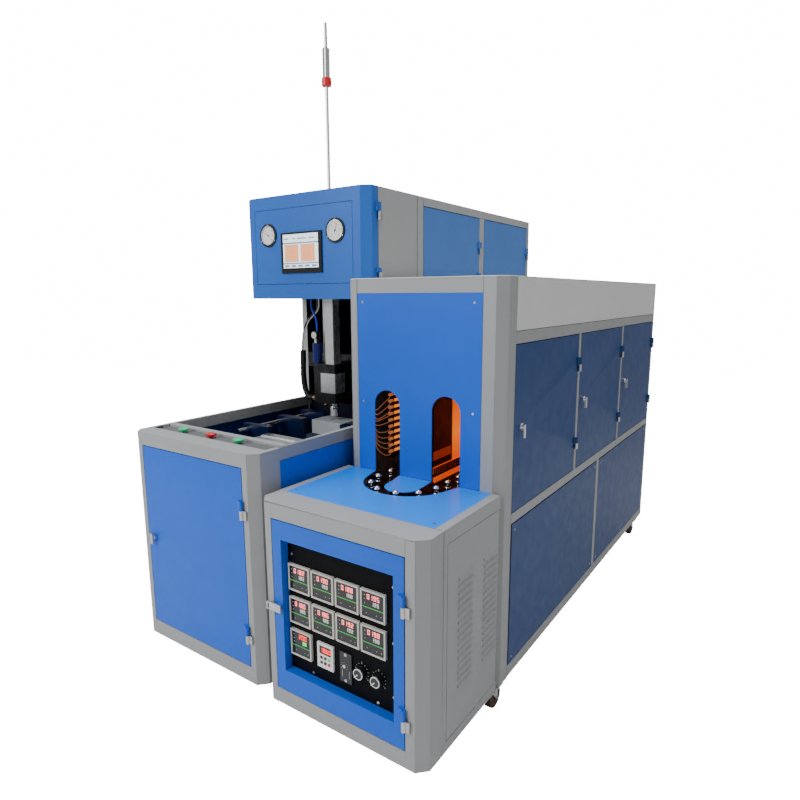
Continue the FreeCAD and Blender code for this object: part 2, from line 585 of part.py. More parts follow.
def rear_cabinet():
    """Tall grey cabinet behind the bay: sheets, posts, rails and the deck between its two stages."""
    left, right = BACK_LEFT, BLOW_RIGHT
    top = BACK_TOP - SHEET
    parts = [box(left, left + SHEET, BACK_FRONT + 40.0, BACK_END, 0.0, top)]
    parts.append(box(left + SHEET, right - SHEET, BACK_END - SHEET, BACK_END, 0.0, top))
    parts.append(box(right - SHEET, right, BACK_FRONT + 46.0, BACK_END - 36.0, 43.0, REAR_DOOR_Z[0] - 3.0))
    parts += [rail(right - 30.0, right, BACK_FRONT + 46.0, BACK_END - SHEET, z0, z1)
              for z0, z1 in ((0.0, 43.0), (1678.0, top))]
    parts += [rail(x0, x1, BACK_FRONT, BACK_FRONT + 40.0, 0.0, HEAD_BOTTOM)
              for x0, x1 in ((left, left + 30.0), (right - 30.0, right))]
    parts.append(rail(right - 30.0, right, BACK_FRONT, BACK_FRONT + 43.0, HEAD_BOTTOM, top))
    parts.append(rail(left, left + 30.0, BACK_FRONT, BACK_FRONT + 40.0, HEAD_BOTTOM, top))
    parts.append(rail(right - 30.0, right, 1529.0, 1577.0, REAR_DOOR_Z[0], 1678.0))
    parts.append(rail(right - 30.0, right, 2115.0, BACK_END - SHEET, 43.0, 1678.0))
    parts.append(box(left + 30.0, right - 30.0, BACK_FRONT, BACK_FRONT + SHEET, 43.0, 790.0))
    parts.append(box(left + SHEET, right - 30.0, BACK_FRONT + 43.0, BACK_END - SHEET, 0.0, SHEET))
    parts.append(box(left + SHEET, right - SHEET, BACK_FRONT + 200.0, BACK_END - SHEET, 800.0, 803.0))
    return group(parts)


def rear_door(y0, y1):
    """Upper pan door of the rear cabinet."""
    door = side_pan(BLOW_RIGHT, y0, y1, *REAR_DOOR_Z)
    hinge_x = BLOW_RIGHT + SIDE_HINGE_X
    for hz0, hz1 in REAR_HINGES:
        leaf = (BLOW_RIGHT, hinge_x, y1 - 18.0, y1 + 1.5)
        door = door.fuse(door_hinge(hinge_x, y1 + 1.5, hz0, hz1, leaf))
    return door.removeSplitter()


def head_box():
    """Grey box that overhangs the bay: side sheets, floor, roof and the bridge to the cabinet."""
    left, right = BACK_LEFT + 2.0, BLOW_RIGHT - 3.0
    front = HEAD_SPLIT + 1.5
    rod_hole = cylinder(BORE_RADIUS, (AXIS_X, AXIS_Y, HEAD_BOTTOM - 10.0), (0, 0, 1), 600.0)
    roof = box(left, right, front, BACK_END, BACK_TOP - SHEET, BACK_TOP).cut(rod_hole)
    floor = box(left, right, front, BACK_FRONT, HEAD_BOTTOM, HEAD_BOTTOM + 6.0).cut(rod_hole)
    sides = [box(x, x + SHEET, front, BACK_FRONT, HEAD_BOTTOM + 6.0, BACK_TOP - SHEET)
             for x in (left, right - SHEET)]
    return group([roof, floor] + sides)


def head_hood():
    """Blue shell over the head's front, and the instrument plate set into it."""
    left, right = BACK_LEFT + 2.0, BLOW_RIGHT - 3.0
    outline = [(left, HEAD_SPLIT), (left, HEAD_FRONT + 23.0), (left + 39.0, HEAD_FRONT),
               (right - 39.0, HEAD_FRONT), (right, HEAD_FRONT + 23.0), (right, HEAD_SPLIT)]
    body = prism_z(outline, HEAD_BOTTOM, BACK_TOP)
    inner = offset_path(outline, SHEET)
    inner[0] = (inner[0][0], HEAD_SPLIT + 1.0)
    inner[-1] = (inner[-1][0], HEAD_SPLIT + 1.0)
    body = body.cut(prism_z(inner, HEAD_BOTTOM + SHEET, BACK_TOP - SHEET))
    x0, x1, z0, z1 = INSTRUMENTS
    body = body.cut(box(x0, x1, HEAD_FRONT - 1.0, HEAD_FRONT + 10.0, z0, z1))
    hinge_x, hinge_y = HOOD_HINGE
    for hz0, hz1 in HOOD_HINGES:
        body = body.fuse(door_hinge(hinge_x, hinge_y, hz0, hz1, (right - 0.5, hinge_x, HEAD_SPLIT - 18.0, HEAD_SPLIT)))
    plate = box(x0 + 1.5, x1 - 1.5, HEAD_FRONT, HEAD_FRONT + SHEET, z0 + 1.5, z1 - 1.5)
    return group([body.removeSplitter(), plate])


def operator_screen():
    """Touch screen bezel standing just proud of the instrument plate."""
    x0, x1, z0, z1 = SCREEN
    body = box(x0, x1, HEAD_FRONT - 7.0, HEAD_FRONT, z0, z1)
    upright = [edge for edge in body.Edges if abs(edge.tangentAt(edge.FirstParameter).y) > 0.99]
    body = body.makeFillet(6.0, upright)
    return body.cut(box(x0 + 16.0, x1 - 16.0, HEAD_FRONT - 8.0, HEAD_FRONT - 6.0, z0 + 16.0, z1 - 16.0))


def pressure_gauges():
    """Two flanged dials, each a black rim round a sunk white face."""
    gauges = []
    for x in GAUGES:
        rim = cylinder(48.0, (x, HEAD_FRONT - 6.0, GAUGE_Z), (0, 1, 0), 6.0)
        dish = cylinder(36.0, (x, HEAD_FRONT - 7.0, GAUGE_Z), (0, 1, 0), 4.0)
        gauges.append(rim.cut(dish))
    return group(gauges)


# ---- clamp and blowing head ----------------------------------------------------------
def bar_places():
    return [(AXIS_X + sx * BAR_SPREAD_X, CLAMP_Z + sz * BAR_SPREAD_Z) for sx in (-1, 1) for sz in (-1, 1)]


def notched_platen(y0, y1, bore):
    """Clamp platen whose upper edge is cut down between its two ears, bored for the tie bars."""
    half = BAR_SPREAD_X + 35.0
    low, high = CLAMP_Z - BAR_SPREAD_Z - 30.0, CLAMP_Z + BAR_SPREAD_Z + 25.0
    plate = box(AXIS_X - half, AXIS_X + half, y0, y1, low, high)
    plate = plate.cut(box(AXIS_X - 110.0, AXIS_X + 110.0, y0 - 1.0, y1 + 1.0, CLAMP_Z + 62.0, high + 1.0))
    for x, z in bar_places():
        plate = plate.cut(cylinder(bore, (x, y0 - 1.0, z), (0, 1, 0), y1 - y0 + 2.0))
    return plate


def clamp_platens():
    """Tail platen, fixed platen and the base beams that tie both to the cabinet floor."""
    tail = notched_platen(465.0, 495.0, BAR_RADIUS)
    tail = tail.cut(cylinder(22.0, (AXIS_X, 464.0, CLAMP_Z), (0, 1, 0), 40.0))
    fixed = notched_platen(FIXED_FACE, FIXED_FACE + PLATEN, BAR_RADIUS)
    base = CLAMP_Z - BAR_SPREAD_Z - 30.0
    beams = [rail(AXIS_X + s * 200.0 - 30.0, AXIS_X + s * 200.0 + 30.0, 440.0, 900.0, base - 60.0, base)
             for s in (-1, 1)]
    legs = [rail(AXIS_X + s * 200.0 - 25.0, AXIS_X + s * 200.0 + 25.0, y, y + 50.0, SHEET, base - 60.0)
            for s in (-1, 1) for y in (450.0, 840.0)]
    return group([tail, fixed] + beams + legs)


def tie_bars():
    return group([cylinder(BAR_RADIUS, (x, 408.0, z), (0, 1, 0), 500.0) for x, z in bar_places()])


def clamp_cylinder():
    """Square pneumatic cylinder with its end caps, bored for the piston rod."""
    half = 112.0
    body = box(AXIS_X - half, AXIS_X + half, 225.0, 465.0, CLAMP_Z - half, CLAMP_Z + half)
    upright = [edge for edge in body.Edges if abs(edge.tangentAt(edge.FirstParameter).y) > 0.99]
    body = body.makeFillet(10.0, upright)
    bore = cylinder(20.08, (AXIS_X, 330.0, CLAMP_Z), (0, 1, 0), 140.0)
    waist = box(AXIS_X - half - 1.0, AXIS_X + half + 1.0, 265.0, 425.0, CLAMP_Z + half - 5.0, CLAMP_Z + half + 1.0)
    return body.cut(bore).cut(waist)


def bottle():
    """Bottle-shaped core on the blowing axis."""
    x, y, z = AXIS_X, AXIS_Y, MOULD_TOP
    radius = BOTTLE_RADIUS
    neck = cylinder(14.0, (x, y, z - 30.0), (0, 0, 1), 31.0)
    shoulder = cone(radius, 14.0, (x, y, z - 80.0), (0, 0, 1), 50.0)
    body = cylinder(radius, (x, y, z - 225.0), (0, 0, 1), 145.0)
    return neck.fuse(shoulder).fuse(body)


def mould_half(y0, y1):
    block = box(AXIS_X - MOULD_HALF_WIDTH, AXIS_X + MOULD_HALF_WIDTH, y0, y1, MOULD_BOTTOM, MOULD_TOP)
    return block.cut(bottle())


def moving_platen():
    """Platen that slides on the tie bars, and the piston rod that pushes it."""
    platen = notched_platen(MOVING_FACE - PLATEN, MOVING_FACE, BAR_RADIUS + BAR_FIT)
    rod = cylinder(20.0, (AXIS_X, 450.0, CLAMP_Z), (0, 1, 0), MOVING_FACE - PLATEN - 450.0)
    return group([platen, rod])


def seal_cylinder():
    """Slim upper cylinder and the short wide one below it, bored for the stretch rod."""
    upper = box(-980.0, -934.0, 737.0, 783.0, 1010.0, HEAD_BOTTOM)
    lower = box(-1014.0, -931.0, 739.0, 809.0, 882.0, 970.0)
    rod_hole = cylinder(BORE_RADIUS, (AXIS_X, AXIS_Y, 800.0), (0, 0, 1), 600.0)
    guide = cylinder(9.0, (-1035.0, 800.0, 1010.0), (0, 0, 1), HEAD_BOTTOM - 1010.0)
    return group([upper.cut(rod_hole), lower.cut(rod_hole), guide])


def seal_plates():
    """Black plates above and below the wide cylinder."""
    rod_hole = cylinder(BORE_RADIUS, (AXIS_X, AXIS_Y, 800.0), (0, 0, 1), 600.0)
    upper = box(-1053.0, -930.0, 737.0, 812.0, 970.0, 1010.0).cut(rod_hole)
    lower = box(-1053.0, -930.0, 737.0, 812.0, 838.0, 882.0)
    socket = cylinder(NOZZLE_SHANK + 0.08, (AXIS_X, AXIS_Y, 830.0), (0, 0, 1), 60.0)
    bracket = box(-1010.0, -940.0, 812.0, BACK_FRONT, 980.0, 1010.0)
    beam = rail(BACK_LEFT + 30.0, BLOW_RIGHT - 30.0, BACK_FRONT, BACK_FRONT + 40.0, 960.0, 1030.0)
    link = box(-1053.0, -1014.0, 739.0, 809.0, 882.0, 970.0)
    return group([upper, lower.cut(socket), bracket, beam, link])


def seal_nozzle():
    """Blowing nozzle: shank in the lower plate, collar and a bell that seats on the mould."""
    x, y = AXIS_X, AXIS_Y
    shank = cylinder(NOZZLE_SHANK, (x, y, 818.0), (0, 0, 1), 50.0)
    collar = cylinder(24.0, (x, y, 812.0), (0, 0, 1), 10.0)
    bell = cone(22.0, 16.0, (x, y, 782.0), (0, 0, 1), 30.0)
    bore = cylinder(BORE_RADIUS, (x, y, 770.0), (0, 0, 1), 110.0)
    mouth = cone(14.0, BORE_RADIUS, (x, y, 781.9), (0, 0, 1), 14.0)
    return shank.fuse(collar).fuse(bell).cut(bore).cut(mouth)


def stretch_rod():
    return cylinder(ROD_RADIUS, (AXIS_X, AXIS_Y, 800.0), (0, 0, 1), ROD_TIP - 800.0)


def stretch_collars():
    """Red stop ring and the clear sleeve clamped on the rod above the head."""
    ring = cylinder(20.0, (AXIS_X, AXIS_Y, 2140.0), (0, 0, 1), 30.0)
    sleeve = cylinder(15.0, (AXIS_X, AXIS_Y, 2170.0), (0, 0, 1), 110.0)
    rod = cylinder(ROD_RADIUS, (AXIS_X, AXIS_Y, 2130.0), (0, 0, 1), 160.0)
    return group([ring.cut(rod), sleeve.cut(rod)])


def hose(points, radius):
    """Round hose of straight runs joined by tangent arcs."""
    nodes = [Vector(*p) for p in points]
    edges = []
    start = nodes[0]
    for before, corner, after in zip(nodes, nodes[1:], nodes[2:]):
        inward = (before - corner).normalize()
        outward = (after - corner).normalize()
        reach = 0.45 * min((before - corner).Length, (after - corner).Length)
        first = corner + inward * reach
        last = corner + outward * reach
        half_turn = math.acos(max(-1.0, min(1.0, inward.dot(outward)))) / 2.0
        middle_distance = reach / math.cos(half_turn) - reach * math.tan(half_turn)
        middle = corner + (inward + outward).normalize() * middle_distance
        edges.append(Part.makeLine(start, first))
        edges.append(Part.Arc(first, middle, last).toShape())
        start = last
    edges.append(Part.makeLine(start, nodes[-1]))
    path = Part.Wire(edges)
    profile = Part.Wire(Part.makeCircle(radius, nodes[0], nodes[1] - nodes[0]))
    return path.makePipeShell([profile], True, False)


def air_hoses():
    """Black supply hose, the clear hose that carries on from it, and the slim blue tube."""
    return group([hose(BLACK_HOSE, 13.0), hose(CLEAR_HOSE, 6.0), hose(BLUE_TUBE, 4.0)])


def air_fittings():
    """Brass elbows beside the lower plate, and the filter bowl with its gauge on the upper plate."""
    top = FILTER_BASE + 90.0
    bowl = cylinder(21.0, (FILTER_X, 760.0, FILTER_BASE), (0, 0, 1), 90.0)
    cap = cylinder(14.0, (FILTER_X, 760.0, top), (0, 0, 1), 24.0)
    dial = cylinder(15.0, (FILTER_X, 738.0, top + 33.7), (0, 1, 0), 30.0)
    shelf = box(-1074.0, -1053.0, 737.0, 800.0, 1002.0, FILTER_BASE)
    elbow = cylinder(11.0, (-1094.0, 775.0, 846.0), (1, 0, 0), 41.0)
    plug = cylinder(8.0, (-1020.0, 775.0, 820.0), (0, 0, 1), 18.0)
    return group([bowl.fuse(cap).fuse(dial).removeSplitter(), shelf, elbow, plug])


# ---- supports ------------------------------------------------------------------------
def caster_legs(x, y, facing):
    """Fork of one caster: round head, two legs and the axle."""
    head = cylinder(24.0, (x, y, -22.0), (0, 0, 1), 12.0)
    axle_y = y + facing * CASTER_TRAIL
    axle_z = GROUND + WHEEL_RADIUS
    fork = head
    for side in (-1.0, 1.0):
        x0 = x + side * (WHEEL_WIDTH / 2.0 + 3.0)
        x1 = x0 + side * SHEET
        leg = [(y - facing * 20.0, -22.0), (y + facing * 22.0, -22.0), (axle_y + facing * 9.0, axle_z),
               (axle_y, axle_z - 9.0), (axle_y - facing * 9.0, axle_z)]
        face = polygon_face([(min(x0, x1), py, pz) for py, pz in leg])
        fork = fork.fuse(face.extrude(Vector(SHEET, 0, 0)))
    crown = box(x - WHEEL_WIDTH / 2.0 - 6.0, x + WHEEL_WIDTH / 2.0 + 6.0, y - 20.0, y + 22.0, -24.0, -20.0)
    reach = WHEEL_WIDTH / 2.0 + 9.0
    axle = cylinder(AXLE_RADIUS, (x - reach, axle_y, axle_z), (1, 0, 0), 2.0 * reach)
    return fork.fuse(crown).fuse(axle).removeSplitter()


def swivel_fork(x, y):
    """Fork that turns on its plate's bolt, with ears and a cross pin for the brake pedal."""
    fork = caster_legs(x, y, 1.0)
    pin_y = y - PEDAL_SETBACK
    for x0 in (x - 20.0, x + 17.0):
        fork = fork.fuse(box(x0, x0 + SHEET, pin_y - 6.0, y, PEDAL_Z - 6.0, -20.0))
    fork = fork.fuse(cylinder(PEDAL_PIN, (x - 21.0, pin_y, PEDAL_Z), (1, 0, 0), 42.0))
    bolt_hole = cylinder(6.08, (x, y, -30.0), (0, 0, 1), 40.0)
    return fork.cut(bolt_hole).removeSplitter()


def caster_mounts():
    """Swivel plates with their bolts, and the rigid rear casters' plates and forks."""
    parts = []
    for x, y in FRONT_CASTERS:
        plate = box(x - 40.0, x + 40.0, y - 32.0, y + 32.0, -9.5, 0.0)
        bolt = cylinder(6.0, (x, y, -24.0), (0, 0, 1), 20.0)
        parts.append(plate.fuse(bolt).removeSplitter())
    for x, y in REAR_CASTERS:
        plate = box(x - 40.0, x + 40.0, y - 32.0, y + 32.0, -9.5, 0.0)
        spacer = cylinder(20.0, (x, y, -12.0), (0, 0, 1), 4.0)
        parts.append(plate.fuse(spacer).fuse(caster_legs(x, y, 1.0)).removeSplitter())
    return group(parts)


def caster_wheel(x, y):
    """Wheel with a rounded tread and a hub bored for its axle."""
    axle_y = y + CASTER_TRAIL
    axle_z = GROUND + WHEEL_RADIUS
    x0 = x - WHEEL_WIDTH / 2.0
    tread = cylinder(WHEEL_RADIUS, (x0, axle_y, axle_z), (1, 0, 0), WHEEL_WIDTH)
    tread = tread.makeFillet(4.0, [edge for edge in tread.Edges if edge.Length > 100.0])
    hub = cylinder(12.0, (x0 - 2.0, axle_y, axle_z), (1, 0, 0), WHEEL_WIDTH + 4.0)
    bore = cylinder(AXLE_RADIUS + AXLE_FIT, (x0 - 5.0, axle_y, axle_z), (1, 0, 0), WHEEL_WIDTH + 10.0)
    return tread.fuse(hub).cut(bore).removeSplitter()


def brake_pedal(x, y):
    """Foot pedal behind the fork, hung on the fork's cross pin."""
    pin_y = y - PEDAL_SETBACK
    barrel = cylinder(5.0, (x - 16.0, pin_y, PEDAL_Z), (1, 0, 0), 32.0)
    tread = box(x - 16.0, x + 16.0, pin_y - 34.0, pin_y, PEDAL_Z - 5.0, PEDAL_Z)
    bore = cylinder(PEDAL_PIN + PIN_FIT, (x - 17.0, pin_y, PEDAL_Z), (1, 0, 0), 34.0)
    return barrel.fuse(tread).cut(bore).removeSplitter()


def levelling_feet():
    """Threaded stems with locknuts and round pads under the blow unit."""
    feet = []
    for x, y in FEET:
        pad = cylinder(30.0, (x, y, GROUND), (0, 0, 1), 10.0)
        collar = cone(18.0, 12.0, (x, y, GROUND + 10.0), (0, 0, 1), 12.0)
        stem = cylinder(8.0, (x, y, GROUND + 22.0), (0, 0, 1), -GROUND - 22.0)
        nut = cylinder(13.0, (x, y, -10.0), (0, 0, 1), 10.0)
        feet.append(pad.fuse(collar).fuse(stem).fuse(nut).removeSplitter())
    return group(feet)


def hinge_set():
    """Fixed leaves, lower knuckles and pins of all doors."""
    hinges = []
    x = CONTROL_DOOR[1] + 1.5
    for z0, z1 in CONTROL_HINGES:
        hinges.append(fixed_hinge(x, FRONT_HINGE_Y, z0, z1, (x, x + 20.0, FRONT_HINGE_Y, 0.0)))
    x = BLOW_DOOR[1] + 1.5
    y = BLOW_FRONT + FRONT_HINGE_Y
    for z0, z1 in BLOW_HINGES:
        hinges.append(fixed_hinge(x, y, z0, z1, (x, x + 20.0, y, BLOW_FRONT)))
    for _, door_end in SIDE_DOORS:
        y = door_end + 1.5
        for z0, z1 in SIDE_HINGES:
            hinges.append(fixed_hinge(SIDE_HINGE_X, y, z0, z1, (0.0, SIDE_HINGE_X, y, y + 20.0)))
    for _, door_end in REAR_DOORS:
        y = door_end + 1.5
        x = BLOW_RIGHT + SIDE_HINGE_X
        for z0, z1 in REAR_HINGES:
            hinges.append(fixed_hinge(x, y, z0, z1, (BLOW_RIGHT, x, y, y + 20.0)))
    x, y = HOOD_HINGE
    for z0, z1 in HOOD_HINGES:
        hinges.append(fixed_hinge(x, y, z0, z1, (BLOW_RIGHT - 3.0, x, y + 0.75, y + 20.0)))
    return group(hinges)


# ---- the whole machine ---------------------------------------------------------------
def build_pieces():
    pieces = {
        "oven_frame": oven_frame(),
        "oven_hood": oven_hood(),
        "louvre_panels": louvre_panels(),
        "table_plate": table_plate(),
        "oven_panels": oven_panels(),
        "conveyor_bed": conveyor_bed(),
        "conveyor_chain": chain_ring(9.0, CHAIN_Z, CHAIN_Z + 12.0),
        "preform_spindles": preform_spindles(),
        "lamp_housings": lamp_housings(),
        "quartz_lamps": quartz_lamps(),
        "control_door": control_door(),
        "control_panel": control_panel(),
        "panel_instruments": panel_instruments(),
        "control_latch": control_latch(),
        "blow_frame": blow_frame(),
        "blow_panels": blow_panels(),
        "blow_door": blow_door(),
        "blow_door_handle": blow_door_handle(),
        "rear_cabinet": rear_cabinet(),
        "head_box": head_box(),
        "head_hood": head_hood(),
        "operator_screen": operator_screen(),
        "pressure_gauges": pressure_gauges(),
        "clamp_platens": clamp_platens(),
        "tie_bars": tie_bars(),
        "clamp_cylinder": clamp_cylinder(),
        "mould_half_fixed": mould_half(PARTING, FIXED_FACE),
        "mould_half_moving": mould_half(MOVING_FACE, PARTING),
        "moving_platen": moving_platen(),
        "seal_cylinder": seal_cylinder(),
        "seal_plates": seal_plates(),
        "seal_nozzle": seal_nozzle(),
        "stretch_rod": stretch_rod(),
        "stretch_collars": stretch_collars(),
        "air_hoses": air_hoses(),
        "air_fittings": air_fittings(),
        "levelling_feet": levelling_feet(),
        "caster_mounts": caster_mounts(),
        "hinge_set": hinge_set(),
    }
    for index, place in enumerate(KNOBS, start=1):
        pieces[f"control_knob_{index}"] = control_knob(place)
    for index, (y0, y1) in enumerate(SIDE_DOORS, start=1):
        pieces[f"side_door_{index}"] = side_door(y0, y1)
        pieces[f"side_handle_{index}"] = side_handle(y0)
    for name, x in BUTTONS:
        pieces[name] = push_button(x)
    for index, (y0, y1) in enumerate(REAR_DOORS, start=1):
        pieces[f"rear_door_{index}"] = rear_door(y0, y1)
    for index, (x, y) in enumerate(FRONT_CASTERS, start=1):
        pieces[f"caster_fork_{index}"] = swivel_fork(x, y)
        pieces[f"brake_pedal_{index}"] = brake_pedal(x, y)
    for index, (x, y) in enumerate(FRONT_CASTERS + REAR_CASTERS, start=1):
        pieces[f"caster_wheel_{index}"] = caster_wheel(x, y)
    return pieces


def main():
    os.makedirs("parts", exist_ok=True)
    pieces = build_pieces()
    whole = Part.makeCompound(list(pieces.values())).BoundBox
    to_origin = Vector(-(whole.XMin + whole.XMax) / 2.0, -(whole.YMin + whole.YMax) / 2.0, -GROUND)
    for name, shape in pieces.items():
        shape.translate(to_origin)
        shape.exportStep(f"parts/{name}.step")


main()
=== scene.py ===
import logging
import math
from dataclasses import dataclass, field
from enum import Enum
from typing import Callable, Iterable, Sequence

import bmesh
import bpy
from mathutils import Matrix, Vector


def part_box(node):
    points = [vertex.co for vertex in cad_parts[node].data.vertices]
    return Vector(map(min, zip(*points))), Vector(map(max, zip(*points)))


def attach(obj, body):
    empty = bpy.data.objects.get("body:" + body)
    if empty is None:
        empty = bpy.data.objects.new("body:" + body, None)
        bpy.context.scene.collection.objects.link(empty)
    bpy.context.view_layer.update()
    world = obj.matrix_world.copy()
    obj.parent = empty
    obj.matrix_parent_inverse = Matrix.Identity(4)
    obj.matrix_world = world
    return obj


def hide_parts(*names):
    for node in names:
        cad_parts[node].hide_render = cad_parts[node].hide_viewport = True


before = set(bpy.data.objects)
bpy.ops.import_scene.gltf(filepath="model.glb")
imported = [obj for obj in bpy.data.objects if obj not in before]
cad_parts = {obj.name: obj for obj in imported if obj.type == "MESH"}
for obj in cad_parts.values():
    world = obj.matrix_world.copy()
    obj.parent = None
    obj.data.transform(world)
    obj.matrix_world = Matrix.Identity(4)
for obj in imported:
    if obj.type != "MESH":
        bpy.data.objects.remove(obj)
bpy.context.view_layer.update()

MM = 0.001
LOG = logging.getLogger("bottle_machine")
Colour = tuple[float, float, float]


# ---- short ways to write node trees ---------------------------------------------------
class Wiring:
    """Adds nodes to one node tree and links them."""

    def __init__(self, tree: bpy.types.NodeTree) -> None:
        """Takes the tree to fill.

        Args:
            tree: an empty shader or geometry tree.
        """
        self.tree = tree

    def add(self, kind: str, inputs: dict | None = None, **settings: object) -> bpy.types.Node:
        """Adds a node, sets it and feeds it.

        Args:
            kind: the node's type name.
            inputs: socket name or index to a plain value or to another node's output socket.
            **settings: attributes of the node itself.

        Returns:
            The new node.
        """
        node = self.tree.nodes.new(kind)
        for name, value in settings.items():
            setattr(node, name, value)
        for key, value in (inputs or {}).items():
            if isinstance(value, bpy.types.NodeSocket):
                self.tree.links.new(value, node.inputs[key])
            else:
                node.inputs[key].default_value = value
        return node

    def socket(self, name: str, kind: str, output: bool = False, value: object = None) -> None:
        """Adds a named socket to the tree's outside.

        Args:
            name: the socket's name.
            kind: Float, Color, Geometry and so on.
            output: whether the socket is an output.
            value: its default.
        """
        side = "OUTPUT" if output else "INPUT"
        made = self.tree.interface.new_socket(name=name, in_out=side, socket_type="NodeSocket" + kind)
        if value is not None:
            made.default_value = value


def paint_skin() -> bpy.types.NodeTree:
    """Group for sprayed and moulded surfaces: fine relief, uneven gloss and a little shade.

    Returns:
        The shader group, built once.
    """
    found = bpy.data.node_groups.get("paint_skin")
    if found:
        return found
    tree = bpy.data.node_groups.new("paint_skin", "ShaderNodeTree")
    w = Wiring(tree)
    w.socket("Colour", "Color", value=(0.5, 0.5, 0.5, 1.0))
    w.socket("Roughness", "Float", value=0.4)
    w.socket("Grain Scale", "Float", value=700.0)
    w.socket("Shade", "Float", value=0.06)
    w.socket("Colour", "Color", output=True)
    w.socket("Roughness", "Float", output=True)
    w.socket("Height", "Float", output=True)
    ends = w.add("NodeGroupInput")
    place = w.add("ShaderNodeTexCoord")
    grain = w.add("ShaderNodeTexNoise", {"Vector": place.outputs["Object"], "Scale": ends.outputs["Grain Scale"],
                                         "Detail": 2.0})
    cloud = w.add("ShaderNodeTexNoise", {"Vector": place.outputs["Object"], "Scale": 2.3, "Detail": 4.0})
    smear = w.add("ShaderNodeTexNoise", {"Vector": place.outputs["Object"], "Scale": 21.0, "Detail": 5.0})
    offset = w.add("ShaderNodeMapRange", {"Value": cloud.outputs["Fac"], "From Min": 0.3, "From Max": 0.7,
                                          "To Min": -1.0, "To Max": 1.0})
    amount = w.add("ShaderNodeMath", {0: offset.outputs["Result"], 1: ends.outputs["Shade"]},
                   operation="MULTIPLY")
    level = w.add("ShaderNodeMath", {0: amount.outputs["Value"], 1: 1.0}, operation="ADD")
    shade = w.add("ShaderNodeVectorMath", {0: ends.outputs["Colour"], 1: level.outputs["Value"]},
                  operation="MULTIPLY")
    gloss = w.add("ShaderNodeMapRange", {"Value": smear.outputs["Fac"], "From Min": 0.3, "From Max": 0.7,
                                         "To Min": 0.92, "To Max": 1.12})
    rough = w.add("ShaderNodeMath", {0: ends.outputs["Roughness"], 1: gloss.outputs["Result"]},
                  operation="MULTIPLY")
    w.add("NodeGroupOutput", {"Colour": shade.outputs["Vector"], "Roughness": rough.outputs["Value"],
                              "Height": grain.outputs["Fac"]})
    return tree


def tool_marks() -> bpy.types.NodeTree:
    """Group for bare metal: fine lines drawn out along one axis, and dull patches.

    Returns:
        The shader group, built once.
    """
    found = bpy.data.node_groups.get("tool_marks")
    if found:
        return found
    tree = bpy.data.node_groups.new("tool_marks", "ShaderNodeTree")
    w = Wiring(tree)
    w.socket("Colour", "Color", value=(0.6, 0.6, 0.6, 1.0))
    w.socket("Stain", "Color", value=(0.3, 0.3, 0.3, 1.0))
    w.socket("Stain Amount", "Float", value=0.2)
    w.socket("Roughness", "Float", value=0.3)
    w.socket("Stretch", "Vector", value=(1.0, 1.0, 1.0))
    w.socket("Colour", "Color", output=True)
    w.socket("Roughness", "Float", output=True)
    w.socket("Height", "Float", output=True)
    ends = w.add("NodeGroupInput")
    place = w.add("ShaderNodeTexCoord")
    drawn = w.add("ShaderNodeVectorMath", {0: place.outputs["Object"], 1: ends.outputs["Stretch"]},
                  operation="MULTIPLY")
    lines = w.add("ShaderNodeTexNoise", {"Vector": drawn.outputs["Vector"], "Scale": 900.0, "Detail": 3.0})
    patch = w.add("ShaderNodeTexNoise", {"Vector": place.outputs["Object"], "Scale": 26.0, "Detail": 6.0})
    spots = w.add("ShaderNodeMapRange", {"Value": patch.outputs["Fac"], "From Min": 0.45, "From Max": 0.7})
    share = w.add("ShaderNodeMath", {0: spots.outputs["Result"], 1: ends.outputs["Stain Amount"]},
                  operation="MULTIPLY")
    blend = w.add("ShaderNodeMix", data_type="RGBA")
    w.tree.links.new(share.outputs["Value"], blend.inputs[0])
    w.tree.links.new(ends.outputs["Colour"], blend.inputs[6])
    w.tree.links.new(ends.outputs["Stain"], blend.inputs[7])
    dull = w.add("ShaderNodeMapRange", {"Value": lines.outputs["Fac"], "From Min": 0.25, "From Max": 0.75,
                                        "To Min": 0.8, "To Max": 1.3})
    rough = w.add("ShaderNodeMath", {0: ends.outputs["Roughness"], 1: dull.outputs["Result"]},
                  operation="MULTIPLY")
    w.add("NodeGroupOutput", {"Colour": blend.outputs[2], "Roughness": rough.outputs["Value"],
                              "Height": lines.outputs["Fac"]})
    return tree


# ---- finishes -------------------------------------------------------------------------
class Shop:
    """Keeps each finish's material, so that it is made once."""

    made: dict[str, bpy.types.Material] = {}

    @classmethod
    def material(cls, finish: "Finish") -> bpy.types.Material:
        """Gives a finish's material.

        Args:
            finish: the finish wanted.

        Returns:
            Its material.
        """
        if finish.name not in cls.made:
            cls.made[finish.name] = finish.mix()
        return cls.made[finish.name]


@dataclass(frozen=True)
class Finish:
    """Anything that can mix a material under its own name."""

    name: str
    colour: Colour

    def start(self) -> tuple[bpy.types.Material, Wiring, bpy.types.Node]:
        """Opens an empty material.

        Returns:
            The material, its wiring and its Principled node, already joined to the output.
        """
        material = bpy.data.materials.new(self.name)
        material.use_nodes = True
        material.node_tree.nodes.clear()
        w = Wiring(material.node_tree)
        surface = w.add("ShaderNodeBsdfPrincipled")
        w.add("ShaderNodeOutputMaterial", {"Surface": surface.outputs["BSDF"]})
        return material, w, surface

    def mix(self) -> bpy.types.Material:
        """Makes the material; each kind of finish has its own way."""
        raise NotImplementedError


